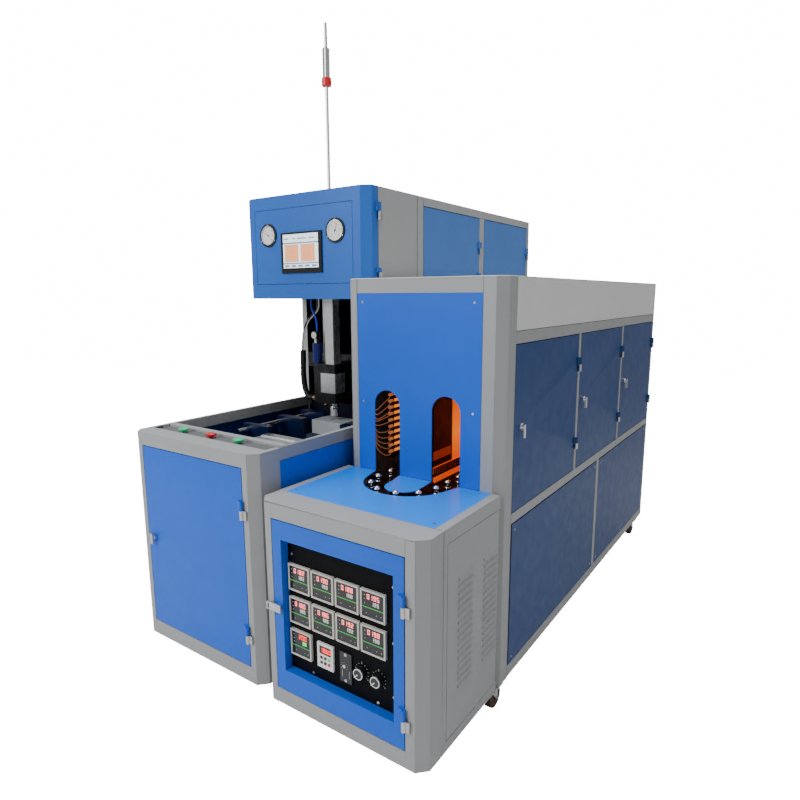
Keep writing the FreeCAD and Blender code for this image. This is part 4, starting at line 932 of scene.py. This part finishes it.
@dataclass
class ControlDoor:
    """Door of the low cabinet with its instruments, knobs and latch."""

    body: str = "control_door"
    bezel: float = 0.0055
    sunk: float = 0.0022
    setpoints: tuple[str, ...] = ("0182", "0190", "0188", "0195", "0180", "0186", "0192", "0198")
    readings: tuple[str, ...] = ("182", "190", "188", "195", "180", "186", "192", "198")
    key_places: tuple[float, ...] = (0.24, 0.64, 0.82)

    def build(self) -> None:
        """Builds everything that the door carries."""
        softened("control_door", BLUE, 0.0009, self.body, "blue_paint")
        softened("control_latch", ZINC, 0.0008, "control_latch", "chrome")
        refinish("control_panel", PANEL_BLACK)
        self.instruments()
        for name in ("control_knob_1", "control_knob_2"):
            self.knob(name)
        self.panel_screws()

    def instruments(self) -> None:
        """Builds meters, counter and regulator in place of their CAD blocks."""
        boxes = sorted(islands("panel_instruments"), key=lambda b: (-round(b[1].z, 2), b[0].x))
        square = [b for b in boxes if abs((b[1].x - b[0].x) - (b[1].z - b[0].z)) < 0.002]
        narrow = sorted([b for b in boxes if b not in square], key=lambda b: b[0].x)
        bezels = Form(BEZEL)
        for index, (low, high) in enumerate(square):
            lit = (PINK_DIGIT, PALE_DIGIT) if index < len(square) - 1 else (RED_DIGIT, GREEN_DIGIT)
            upper = self.setpoints[index] if index < len(self.setpoints) else "200"
            lower = self.readings[index] if index < len(self.readings) else "38"
            self.meter(bezels, low, high, upper, lower, lit)
        self.counter(bezels, *narrow[0])
        self.regulator(bezels, *narrow[1])
        seat(bezels.build("instrument_faces"), self.body, "light_plastic", "panel_instruments")

    def meter(self, form: Form, low: Vector, high: Vector, upper: str, lower: str,
              lit: tuple[Finish, Finish]) -> None:
        """Adds one square meter: bezel, sunk black face, two readouts, a line and keys.

        Args:
            form: form to add to.
            low: lowest corner of its block.
            high: highest corner of its block.
            upper: figures of the upper readout.
            lower: figures of the lower readout.
            lit: finishes of the two readouts.
        """
        side = high.x - low.x
        rim = self.bezel
        face_y = low.y + self.sunk
        form.use(BEZEL)
        form.box(low, vec(low.x + rim, high.y, high.z))
        form.box(vec(high.x - rim, low.y, low.z), high)
        form.box(vec(low.x + rim, low.y, low.z), vec(high.x - rim, high.y, low.z + rim))
        form.box(vec(low.x + rim, low.y, high.z - rim), vec(high.x - rim, high.y, high.z))
        form.use(FACE_BLACK).box(vec(low.x + rim, face_y, low.z + rim), vec(high.x - rim, high.y, high.z - rim))
        corner = vec(low.x, face_y, low.z)
        form.use(lit[0])
        Readout(side * 0.165).write(form, upper, corner + vec(side * (0.80 - 0.134 * len(upper)), 0, side * 0.685))
        form.use(lit[1])
        Readout(side * 0.135).write(form, lower, corner + vec(side * (0.78 - 0.11 * len(lower)), 0, side * 0.49))
        form.use(GREEN_LINE).box(vec(low.x + rim, face_y - 0.0002, low.z + side * 0.375),
                                 vec(high.x - rim, face_y, low.z + side * 0.405))
        form.use(PRINT)
        for share in self.key_places:
            middle = corner + vec(side * share, 0, side * 0.20)
            form.cone(middle, middle - vec(0, 0.0004, 0), side * 0.022, side * 0.018, 3)
        for row in range(3):
            middle = corner + vec(side * 0.16, 0, side * (0.80 - 0.14 * row))
            form.box(middle - vec(side * 0.012, 0.0002, side * 0.012), middle + vec(side * 0.012, 0, side * 0.012))

    def counter(self, form: Form, low: Vector, high: Vector) -> None:
        """Adds the small counter: pale plate, dark window with red figures and six keys."""
        wide, tall = high.x - low.x, high.z - low.z
        form.use(WHITE).box(low + vec(0, 0.001, 0), high)
        form.use(FACE_BLACK).box(low + vec(wide * 0.15, 0.0004, tall * 0.57), vec(high.x - wide * 0.13,
                                                                               low.y + 0.002,
                                                                               high.z - tall * 0.11))
        form.use(RED_DIGIT)
        Readout(tall * 0.17).write(form, "1860", vec(low.x + wide * 0.22, low.y + 0.0004, low.z + tall * 0.65))
        keys = (FACE_BLACK, FACE_BLACK, MINT, FACE_BLACK, FACE_BLACK, RED)
        for index, finish in enumerate(keys):
            column, row = index % 3, index // 3
            middle = low + vec(wide * (0.27 + 0.24 * column), 0.001, tall * (0.42 - 0.20 * row))
            form.use(finish).box(middle - vec(wide * 0.075, 0.001, tall * 0.055),
                                 middle + vec(wide * 0.075, 0, tall * 0.055))

    def regulator(self, form: Form, low: Vector, high: Vector) -> None:
        """Adds the slim power regulator with its trimmer, scale lines and two screws."""
        wide, tall = high.x - low.x, high.z - low.z
        form.use(FACE_BLACK).box(low + vec(0, 0.0015, 0), high)
        middle = (low.x + high.x) / 2
        for share in (0.07, 0.93):
            start = vec(middle, low.y + 0.0015, low.z + tall * share)
            form.use(ZINC).rod(start, start - vec(0, 0.0014, 0), wide * 0.11, 16)
        trimmer = vec(middle - wide * 0.14, low.y + 0.0015, low.z + tall * 0.52)
        form.use(WHITE).rod(trimmer, trimmer - vec(0, 0.001, 0), wide * 0.11, 16)
        form.use(PRINT)
        for side in (-1, 1):
            x = middle + side * wide * 0.30
            form.box(vec(x - 0.0004, low.y + 0.0012, low.z + tall * 0.16),
                     vec(x + 0.0004, low.y + 0.0015, low.z + tall * 0.42))
        for step in range(7):
            angle = math.radians(-120 + 40 * step)
            spot = trimmer + vec(math.sin(angle), 0, math.cos(angle)) * wide * 0.27
            form.box(spot - vec(0.0007, 0.0003, 0.0007), spot + vec(0.0007, 0, 0.0007))

    def knob(self, node: str) -> None:
        """Builds one knob: dark skirt, white ring, dark cap and white pointer, with a dial behind it."""
        low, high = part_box(node)
        middle = (low + high) / 2
        radius = (high.x - low.x) / 2
        face = vec(middle.x, low.y, middle.z)
        back = vec(middle.x, high.y, middle.z)
        door_face = vec(middle.x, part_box("control_panel")[0].y, middle.z)
        form = Form(FACE_BLACK)
        form.cone(door_face - vec(0, 0.001, 0), face + vec(0, 0.004, 0), radius, radius * 0.9, 40)
        form.rod(door_face, back, 0.003, 16)
        form.use(WHITE).ring(face + vec(0, 0.0042, 0), face + vec(0, 0.001, 0), radius * 0.88, radius * 0.74)
        form.use(FACE_BLACK).rod(face + vec(0, 0.0042, 0), face + vec(0, 0.0014, 0), radius * 0.74, 32)
        form.use(WHITE)
        pointer = bmesh.ops.create_cube(form.mesh, size=1.0, matrix=Matrix.Translation(
            face + vec(-radius * 0.34, 0.0008, -radius * 0.34)) @ Matrix.Rotation(math.pi / 4, 4, "Y")
            @ Matrix.Diagonal((radius * 0.16, 0.0016, radius * 0.94, 1.0)))
        form.mark(pointer["verts"])
        seat(form.build(node + "_cap"), node, "light_plastic", node)
        dial = Form(PRINT)
        for step in range(11):
            angle = math.radians(-135 + 27 * step)
            out = vec(math.sin(angle), 0, math.cos(angle))
            for share in (1.22, 1.30):
                spot = door_face + out * radius * share
                dial.box(spot - vec(0.0006, 0.0002, 0.0006), spot + vec(0.0006, 0.0001, 0.0006))
            if step % 5 == 0:
                dial.words(str(step), door_face + out * radius * 1.55 - vec(0, 0.0001, 0), 0.006)
        seat(dial.build(node + "_dial"), self.body, "light_plastic")

    def panel_screws(self) -> None:
        """Puts the screws that hold the black panel into the door."""
        low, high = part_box("control_panel")
        wide, tall = high.x - low.x, high.z - low.z
        inset = 0.021
        window_low = vec(low.x + inset, 0, low.z + inset)
        spots = [(window_low.x + 0.010, low.z + tall * share) for share in (0.20, 0.54, 0.86)]
        spots += [(high.x - inset - 0.012, low.z + tall * share) for share in (0.14, 0.50, 0.86)]
        spots += [(low.x + wide * share, high.z - inset) for share in (0.21, 0.80)]
        spots += [(low.x + wide * share, low.z + inset + 0.004) for share in (0.24, 0.80)]
        turned = [(vec(x, low.y, z), Facing.OPERATOR.value) for x, z in spots]
        scatter("panel_screws", Screw(0.0045, 0.0024).form(), turned, ZINC, self.body, "zinc")


# ---- oven -----------------------------------------------------------------------------
@dataclass
class LowCabinet:
    """Sheet metal of the preform oven: low front cabinet and tall tunnel behind it."""

    body: str = "machine"
    edge: float = 0.0010

    def build(self) -> None:
        """Dresses the shells and puts their screws in."""
        for node in ("oven_frame", "louvre_panels"):
            softened(node, GREY, self.edge, self.body, "grey_paint")
        # The hood takes the lighter grey copy, a painted highlight.
        softened("oven_hood", HOOD_HIGHLIGHT_GREY, self.edge, self.body, "grey_paint")
        softened("table_plate", TABLE_BLUE, 0.0007, self.body, "bright_blue_paint")
        # Narrow right-hand side panels take the darker blue copy, painted shade.
        softened("oven_panels", BLUE, self.edge, self.body, "blue_paint",
                 lambda spot: SIDE_SHADE_BLUE if spot.high.x - spot.low.x < 0.1 else None)
        # The side doors take the darker blue copy, painted shade.
        for index in (1, 2, 3):
            softened(f"side_door_{index}", SIDE_SHADE_BLUE, self.edge, f"side_door_{index}", "blue_paint")
            softened(f"side_handle_{index}", CHROME, 0.0006, f"side_handle_{index}", "chrome")
        refinish("hinge_set", ZINC)
        self.screws()

    def screws(self) -> None:
        """Screws of the table, the slotted panel and the lower side panels."""
        table_low, table_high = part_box("table_plate")
        panel_low, panel_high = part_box("oven_panels")
        front = panel_low.y
        spots = [(vec(table_low.x + 0.019, table_low.y + 0.027, table_high.z), Facing.UP.value),
                 (vec(table_high.x - 0.019, table_low.y + 0.030, table_high.z), Facing.UP.value)]
        for x in (table_low.x + 0.053, table_high.x - 0.072):
            for z in (table_high.z + 0.250, panel_high.z - 0.03):
                spots.append((vec(x, front, z), Facing.OPERATOR.value))
        for low, high in islands("oven_panels"):
            if high.x - low.x < 0.1:
                for y in (low.y + 0.021, high.y - 0.027):
                    for z in (low.z + 0.022, high.z - 0.022):
                        spots.append((vec(high.x, y, z), Facing.RIGHT.value))
        scatter("cabinet_screws", Screw(0.0042, 0.0024).form(), spots, ZINC, self.body, "zinc")


@dataclass
class Tunnel:
    """Lamps, leads, reflectors, chain and spindles inside the oven."""

    body: str = "machine"
    link_pitch: float = 0.0187
    lead_radius: float = 0.0011

    def build(self) -> None:
        """Builds everything inside the oven."""
        refinish("quartz_lamps", LAMP)
        refinish("lamp_housings", OVEN_STEEL)
        refinish("conveyor_bed", OVEN_STEEL)
        refinish("preform_spindles", CHROME)
        self.lamp_leads()
        self.chain()
        self.hot_walls()

    def left_bank(self) -> list[tuple[Vector, Vector]]:
        """Gives the boxes of the front left bank's lamps."""
        lamps = islands("quartz_lamps")
        nearest = min(low.y for low, _ in lamps)
        middle = sum(low.x for low, _ in lamps) / len(lamps)
        return [(low, high) for low, high in lamps if low.y < nearest + 0.05 and low.x < middle]

    def lamp_leads(self) -> None:
        """Ceramic ends and sagging leads at the front of the left bank, both orange with a painted glow of the lamps'
        light.
        """
        bank = self.left_bank()
        spots = [(vec((low.x + high.x) / 2, low.y - 0.012, (low.z + high.z) / 2), Facing.OPERATOR.value)
                 for low, high in bank]
        holder = Form(BEZEL)
        holder.rod(vec(0, 0, -0.012), vec(0, 0, 0.006), 0.0062, 12)
        holder.box(vec(-0.004, -0.004, 0.006), vec(0.004, 0.004, 0.012))
        scatter("lamp_sockets", holder, spots, LEAD_GLOW, self.body, "lamp_glass", spin=0.0)
        heights = [place.z for place, _ in spots]
        middle = (min(heights) + max(heights)) / 2
        loom = vec(spots[0][0].x - 0.002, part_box("oven_panels")[0].y + 0.022, middle + 0.01)
        leads = grow("lamp_leads", spots, leads_tree(), {
            "Loom": loom, "Gather": 0.42, "Sag": 0.013, "Lead Radius": self.lead_radius, "Uneven Seed": 3,
            "Finish": Shop.material(LEAD_GLOW)})
        seat(leads, self.body, "lamp_glass")

    def oval(self) -> tuple[Callable[[float], tuple[Vector, float]], float]:
        """Gives the chain's path as a function of distance, with the heading there, and its length."""
        low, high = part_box("conveyor_chain")
        band = 0.009
        radius = (high.x - low.x) / 2 - band
        middle = (low.x + high.x) / 2
        straight = (high.y - low.y) - 2 * (radius + band)
        front = low.y + band + radius
        bend = math.pi * radius

        def at(distance: float) -> tuple[Vector, float]:
            """Gives the point and heading at a distance along the path."""
            if distance < straight:
                return vec(middle + radius, front + distance, low.z), math.pi / 2
            if distance < straight + bend:
                angle = (distance - straight) / radius
                return (vec(middle + radius * math.cos(angle), front + straight + radius * math.sin(angle),
                            low.z), math.pi / 2 + angle)
            if distance < 2 * straight + bend:
                return (vec(middle - radius, front + straight - (distance - straight - bend), low.z),
                        -math.pi / 2)
            angle = math.pi + (distance - 2 * straight - bend) / radius
            return (vec(middle + radius * math.cos(angle), front + radius * math.sin(angle), low.z),
                    math.pi / 2 + angle)

        return at, 2 * straight + 2 * bend

    def chain(self) -> None:
        """Builds the roller chain link by link along its oval."""
        low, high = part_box("conveyor_chain")
        tall = high.z - low.z
        at, length = self.oval()
        count = 2 * round(length / self.link_pitch / 2)
        spots = []
        for index in range(count):
            place, heading = at(length * index / count)
            spots.append((place, (0.0, 0.0, heading)))
        half = self.link_pitch / 2
        link_form = Form(DARK_STEEL)
        link_form.rod(vec(0, 0, 0), vec(0, 0, tall), 0.0052, 10)
        for z in (0.0012, tall - 0.0030):
            link_form.box(vec(-half * 0.92, -0.0080, z), vec(half * 0.92, 0.0080, z + 0.0018))
        link_form.box(vec(-0.0022, -0.0088, 0.0), vec(0.0022, 0.0088, tall * 0.9))
        seat(scatter("chain_links", link_form, spots, DARK_STEEL, self.body, "dark_steel", spin=0.0),
             self.body, "dark_steel", "conveyor_chain")

    def hot_walls(self) -> None:
        """Reflectors, slotted air duct and guide rails beside the right track, with the lamps' light on them painted as
        glow.
        """
        right = [b for b in islands("quartz_lamps") if b[0].x > sum(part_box("conveyor_chain")[i].x
                                                                    for i in (0, 1)) / 2]
        low = Vector(map(min, *[b[0] for b in right]))
        high = Vector(map(max, *[b[1] for b in right]))
        walls = sorted(islands("lamp_housings"), key=lambda b: b[0].x)
        inner = max(b[1].x for b in walls if b[1].x < low.x - 0.05)
        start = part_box("oven_panels")[0].y + 0.012
        glow_sheet = Form(REFLECTOR_LAMPLIGHT)
        glow_sheet.box(vec(inner + 0.0004, low.y + 0.012, low.z - 0.004), vec(inner + 0.0016, high.y, high.z + 0.05))
        # Streak of lamp light on the duct wall, painted light.
        glow_sheet.use(DUCT_LAMPLIGHT_STREAK)
        glow_sheet.box(vec(inner + 0.0004, start, low.z + 0.030), vec(inner + 0.0030, low.y, low.z + 0.060))
        # Guide rail edges glowing with the lamps' light: painted reflection.
        glow_sheet.use(RAIL_LAMPLIGHT)
        glow_sheet.box(vec(inner + 0.0004, start, low.z - 0.018), vec(inner + 0.0050, high.y, low.z + 0.006))
        glow_sheet.box(vec(inner + 0.0004, start, low.z - 0.046), vec(inner + 0.0080, high.y, low.z - 0.030))
        seat(glow_sheet.build("lit_reflectors", 0.0), self.body, "reflector")
        teeth = Form(OVEN_STEEL)
        teeth.box(vec(-0.0022, -0.0030, 0.0), vec(0.0022, 0.0030, 0.022))
        pitch = 0.0125
        count = int((high.y - start) / pitch)
        spots = [(vec(inner + 0.0062, start + pitch * index, low.z - 0.017), Facing.UP.value)
                 for index in range(count)]
        scatter("duct_teeth", teeth, spots, OVEN_STEEL, self.body, "dark_steel", spin=0.0)


# ---- blowing unit ---------------------------------------------------------------------
@dataclass
class BlowCabinet:
    """Sheet metal, door, push buttons and clamp of the blowing unit."""

    body: str = "machine"
    edge: float = 0.0010

    def build(self) -> None:
        """Dresses the cabinet and what works inside its open well."""
        softened("head_box", GREY, self.edge, self.body, "grey_paint")
        softened("blow_frame", GREY, self.edge, self.body, "grey_paint", self.frame_finish)
        softened("rear_cabinet", GREY, self.edge, self.body, "grey_paint", self.cabinet_finish)
        softened("blow_panels", BLUE, self.edge, self.body, "blue_paint", self.panel_finish)
        softened("blow_door", BLUE, self.edge, "blow_door", "blue_paint")
        softened("blow_door_handle", ZINC, 0.0008, "blow_door_handle", "chrome")
        for index in (1, 2):
            # The rear doors take the lighter blue copy, painted light.
            softened(f"rear_door_{index}", REAR_LIT_BLUE, self.edge, f"rear_door_{index}", "blue_paint")
        self.buttons()
        self.clamp()

    @staticmethod
    def frame_finish(spot: Spot) -> Finish | None:
        """Picks a darker grey for the floor of the button channel: painted shade of the sunken channel."""
        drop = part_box("blow_frame")[1].z - spot.middle.z
        return CHANNEL_SHADE_GREY if spot.normal.z > 0.9 and 0.006 < drop < 0.012 else None

    @staticmethod
    def cabinet_finish(spot: Spot) -> Finish | None:
        """Picks near-black for all that lies inside the rear cabinet's outline: painted shade of the dark bay."""
        low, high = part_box("rear_cabinet")
        edge = 0.001
        outside = spot.middle.x < low.x + edge or spot.middle.x > high.x - edge or spot.middle.y > high.y - edge
        post = spot.normal.y < -0.9 and spot.high.x - spot.low.x < 0.1
        return None if outside or post else BAY_SHADE

    @staticmethod
    def panel_finish(spot: Spot) -> Finish | None:
        """Picks a darker blue for the panel faces that look into the well: painted shade inside the well."""
        low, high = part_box("blow_panels")
        on_left = spot.middle.x < (low.x + high.x) / 2
        return WELL_SHADE_BLUE if abs(spot.normal.x) > 0.9 and (spot.normal.x > 0) == on_left else None

    def buttons(self) -> None:
        """Builds the three mushroom buttons."""
        for node, finish, slot in (("start_button_left", MINT, "green_plastic"), ("stop_button", RED, "red_plastic"),
                                   ("start_button_right", MINT, "green_plastic")):
            low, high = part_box(node)
            middle = (low + high) / 2
            radius = (high.x - low.x) / 2
            form = Form(finish)
            form.rod(vec(middle.x, middle.y, low.z), vec(middle.x, middle.y, high.z - 0.004), radius * 0.36)
            form.cone(vec(middle.x, middle.y, high.z - 0.010), vec(middle.x, middle.y, high.z - 0.003),
                      radius * 0.97, radius, 40)
            form.cone(vec(middle.x, middle.y, high.z - 0.003), vec(middle.x, middle.y, high.z), radius,
                      radius * 0.72, 40)
            seat(form.build(node + "_cap", 0.0008), node, slot, node)

    def clamp(self) -> None:
        """Dresses platens, tie bars, mould and clamp cylinder."""
        softened("clamp_platens", DARK_BLUE, 0.0012, self.body, "dark_paint")
        softened("moving_platen", DARK_BLUE, 0.0012, "clamp", "dark_paint")
        softened("mould_half_moving", MOULD_STEEL, 0.0008, "clamp", "mould_steel")
        softened("mould_half_fixed", MOULD_STEEL, 0.0008, self.body, "mould_steel")
        softened("clamp_cylinder", ALUMINIUM, 0.0015, self.body, "aluminium")
        refinish("tie_bars", CHROME)


@dataclass
class SealHead:
    """Blowing cylinder, nozzle, stretch rod, hoses and fittings over the mould."""

    body: str = "machine"
    stop_share: float = 0.214
    bowl_share: float = 0.86
    shelf_share: float = 0.58

    def build(self) -> None:
        """Builds the head's working parts."""
        softened("seal_cylinder", ALUMINIUM, 0.0012, self.body, "aluminium")
        softened("seal_plates", BLACK_OXIDE, 0.0010, self.body, "black_oxide")
        softened("seal_nozzle", CHROME, 0.0006, "seal_nozzle", "chrome")
        refinish("stretch_rod", CHROME)
        refinish("stretch_collars", RED)
        self.collars()
        self.fittings()

    def collars(self) -> None:
        """Red stop ring and pale sleeve on the stretch rod."""
        low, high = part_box("stretch_collars")
        bore = (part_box("stretch_rod")[1].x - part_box("stretch_rod")[0].x) / 2 + 0.0003
        radius = (high.x - low.x) / 2
        middle = (low + high) / 2
        split = low.z + (high.z - low.z) * self.stop_share
        form = Form(RED)
        form.ring(vec(middle.x, middle.y, low.z), vec(middle.x, middle.y, split), radius, bore)
        form.use(HOSE).ring(vec(middle.x, middle.y, split + 0.0003), vec(middle.x, middle.y, high.z),
                            radius * 0.75, bore)
        seat(form.build("rod_collars", 0.001), "stretch_rod", "red_plastic", "stretch_collars")

    def fittings(self) -> None:
        """Filter bowl with its small round gauge, elbow, plug and the three hoses."""
        low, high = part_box("air_fittings")
        bowl_top = low.z + (high.z - low.z) * self.bowl_share
        shelf_top = low.z + (high.z - low.z) * self.shelf_share

        def fitting(spot: Spot) -> Finish:
            """Picks a fitting's finish by the height and the way of its face."""
            if spot.middle.z > bowl_top:
                return BEZEL if spot.normal.y < -0.9 else RUBBER
            if spot.middle.z > shelf_top:
                return NAVY
            return BLACK_OXIDE if spot.high.z - spot.low.z < 0.01 else BRASS

        def hose(spot: Spot) -> Finish:
            """Picks a hose's finish by how low it starts and how wide it swings."""
            if spot.low.z < shelf_top:
                return RUBBER
            return HOSE if spot.high.x - spot.low.x > 0.06 else TUBE_BLUE

        softened("air_fittings", BRASS, 0.0006, self.body, "brass", fitting)
        softened("air_hoses", RUBBER, 0.0, self.body, "black_plastic", hose)


@dataclass
class Head:
    """Hinged front of the head with its screen and two pressure gauges."""

    body: str = "head_hood"
    flange: float = 0.0045
    dial_share: float = 0.80

    def build(self) -> None:
        """Builds the instrument plate, the gauges and the screen."""
        softened("head_hood", HEAD_BLUE, 0.0010, self.body, "blue_paint")
        for index, (low, high) in enumerate(sorted(islands("pressure_gauges"), key=lambda b: b[0].x)):
            self.gauge(f"gauge_{index + 1}", low, high, (-60, 20)[index])
        self.screen()

    def gauge(self, name: str, low: Vector, high: Vector, reading: float) -> None:
        """Builds one gauge: black flange, three screws, dial, figures and needle.

        Args:
            name: name of the gauge's piece.
            low: lowest corner of its flange.
            high: highest corner of its flange.
            reading: angle of the needle from upright, in degrees.
        """
        middle = (low + high) / 2
        radius = (high.x - low.x) / 2
        inner = radius * self.dial_share
        front = vec(middle.x, low.y, middle.z)
        back = vec(middle.x, high.y, middle.z)
        dial = front + vec(0, 0.003, 0)
        form = Form(RUBBER)
        form.ring(front + vec(0, 0.0015, 0), back, radius, inner, 64)
        form.use(ALUMINIUM).ring(front, back, inner + 0.0012, inner - 0.0022, 64)
        form.use(WHITE).rod(dial, back, inner - 0.002, 48)
        form.use(FACE_BLACK)
        for step in range(31):
            angle = math.radians(-135 + 9 * step)
            out = vec(math.sin(angle), 0, math.cos(angle))
            length = 0.0045 if step % 5 == 0 else 0.0025
            centre = dial + out * (inner - 0.0035 - length / 2)
            turn = Matrix.Translation(centre) @ Matrix.Rotation(angle, 4, "Y")
            made = bmesh.ops.create_cube(form.mesh, size=1.0,
                                         matrix=turn @ Matrix.Diagonal((0.0007, 0.0004, length, 1.0)))
            form.mark(made["verts"])
            if step % 5 == 0:
                form.words(str(step // 5 * 5), dial + out * (inner - 0.0125), 0.0070)
        angle = math.radians(reading)
        out = vec(math.sin(angle), 0, math.cos(angle))
        hub = dial - vec(0, 0.0010, 0)
        form.cone(hub - out * 0.008, hub + out * (inner - 0.009), 0.0012, 0.0004, 8)
        form.rod(dial, dial - vec(0, 0.0016, 0), 0.0034, 20)
        seat(form.build(name), self.body, "black_plastic", "pressure_gauges")
        screws = []
        for angle in (0, 120, 240):
            out = vec(math.sin(math.radians(angle)), 0, math.cos(math.radians(angle)))
            screws.append((front + vec(0, 0.0016, 0) + out * radius * 0.905, Facing.OPERATOR.value))
        scatter(name + "_screws", Screw(0.0040, 0.0018).form(), screws, CHROME, self.body, "zinc")

    def screen(self) -> None:
        """Builds the operator screen: black case, pale page, two boxes of lines and a key row."""
        low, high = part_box("operator_screen")
        wide, tall = high.x - low.x, high.z - low.z
        face = low.y + 0.0012
        form = Form(FACE_BLACK)
        form.box(low, high)

        def patch(left: float, right: float, bottom: float, top: float, finish: Finish, rise: float) -> None:
            """Adds a flat patch of the page in shares of the screen's width and height."""
            form.use(finish).box(vec(low.x + wide * left, low.y - rise, low.z + tall * bottom),
                                 vec(low.x + wide * right, face, low.z + tall * top))

        patch(0.055, 0.925, 0.125, 0.955, PAGE, 0.0002)
        patch(0.055, 0.925, 0.72, 0.755, PAGE_BAND, 0.0003)
        patch(0.055, 0.925, 0.225, 0.255, PAGE_BAND, 0.0003)
        for left, right in ((0.10, 0.44), (0.50, 0.84)):
            patch(left, right, 0.28, 0.70, PAGE_BAND, 0.0003)
            patch(left + 0.008, right - 0.008, 0.29, 0.69, PAGE_BOX, 0.0004)
            for row in range(6):
                height = 0.645 - 0.06 * row
                patch(left + 0.04, right - 0.10, height, height + 0.008, PAGE_BAND, 0.0005)
        for key in range(5):
            patch(0.09 + 0.17 * key, 0.20 + 0.17 * key, 0.150, 0.200, PAGE_BAND, 0.0003)
        for start, length in ((0.08, 0.12), (0.30, 0.08), (0.42, 0.22), (0.70, 0.14)):
            patch(start, start + length, 0.83, 0.86, PAGE_BAND, 0.0003)
        seat(form.build("screen_unit", 0.0), self.body, "black_plastic", "operator_screen")


@dataclass
class RunningGear:
    """Casters, brake pedals, feet and small plated parts."""

    def build(self) -> None:
        """Gives the running gear its finishes."""
        for index in range(1, 5):
            refinish(f"caster_wheel_{index}", TREAD)
        for index in (1, 2):
            softened(f"caster_fork_{index}", ZINC, 0.0006, f"caster_fork_{index}", "zinc")
            softened(f"brake_pedal_{index}", PEDAL_RED, 0.0010, f"brake_pedal_{index}", "red_plastic")
        for node in ("caster_mounts", "levelling_feet"):
            refinish(node, ZINC)


# ---- studio ---------------------------------------------------------------------------
@dataclass
class Studio:
    """Plain floor, soft lights and the camera."""

    place: Vector = field(default_factory=lambda: vec(1.4208, -2.42265, 1.4174))
    yaw: float = 0.6063
    pitch: float = 0.1746
    roll: float = -0.0042
    lens: float = 26.84
    surround: float = 0.33
    backdrop: float = 16.0

    def floor(self) -> None:
        """Lays a wide pale floor."""
        form = Form(Backdrop("pale_floor", (0.80, 0.80, 0.80), self.backdrop))
        half = 9.0
        form.box(vec(-half, -half, -0.02), vec(half, half, 0.0))
        form.build("floor")

    def lamp(self, name: str, place: Vector, target: Vector, size: float, power: float) -> None:
        """Hangs one square soft light that points at a target."""
        data = bpy.data.lights.new(name, "AREA")
        data.shape = "SQUARE"
        data.size = size
        data.energy = power
        made = bpy.data.objects.new(name, data)
        made.matrix_world = Matrix.LocRotScale(place, (target - place).to_track_quat("-Z", "Y"), None)
        bpy.context.scene.collection.objects.link(made)

    def light(self) -> None:
        """Sets a bright even surround and three soft lights."""
        world = bpy.data.worlds.new("surround")
        world.use_nodes = True
        w = Wiring(world.node_tree)
        seen = w.add("ShaderNodeLightPath")
        strength = w.add("ShaderNodeMix", data_type="FLOAT")
        w.tree.links.new(seen.outputs["Is Camera Ray"], strength.inputs[0])
        strength.inputs[2].default_value = self.surround
        strength.inputs[3].default_value = self.backdrop
        surround = world.node_tree.nodes["Background"]
        surround.inputs["Color"].default_value = (1.0, 1.0, 1.0, 1.0)
        w.tree.links.new(strength.outputs[0], surround.inputs["Strength"])
        bpy.context.scene.world = world
        centre = vec(-0.1, -0.4, 0.9)
        self.lamp("key", vec(-1.6, -4.6, 3.4), centre, 3.0, 185.0)
        self.lamp("side", vec(4.6, -1.5, 2.6), centre, 3.0, 12.0)
        self.lamp("top", vec(0.0, 0.3, 5.2), centre, 4.0, 230.0)

    def camera(self) -> None:
        """Stands the camera at the operator's right."""
        data = bpy.data.cameras.new("camera")
        data.lens = self.lens
        made = bpy.data.objects.new("camera", data)
        forward = vec(-math.sin(self.yaw) * math.cos(self.pitch), math.cos(self.yaw) * math.cos(self.pitch),
                      -math.sin(self.pitch))
        right = vec(math.cos(self.yaw), math.sin(self.yaw), 0)
        up = right.cross(forward)
        level = math.cos(self.roll) * right + math.sin(self.roll) * up
        upright = math.cos(self.roll) * up - math.sin(self.roll) * right
        turn = Matrix((level, upright, -forward)).transposed()
        made.matrix_world = Matrix.Translation(self.place) @ turn.to_4x4()
        bpy.context.scene.collection.objects.link(made)
        bpy.context.scene.camera = made


def main() -> None:
    """Builds the studio and every sub-assembly in order."""
    logging.basicConfig(level=logging.INFO, format="%(name)s: %(message)s")
    studio = Studio()
    studio.camera()
    studio.floor()
    studio.light()
    for assembly in (ControlDoor(), LowCabinet(), Tunnel(), BlowCabinet(), SealHead(), Head(), RunningGear()):
        assembly.build()
        LOG.info("built %s", type(assembly).__name__)


if __name__ == "__main__":
    main()
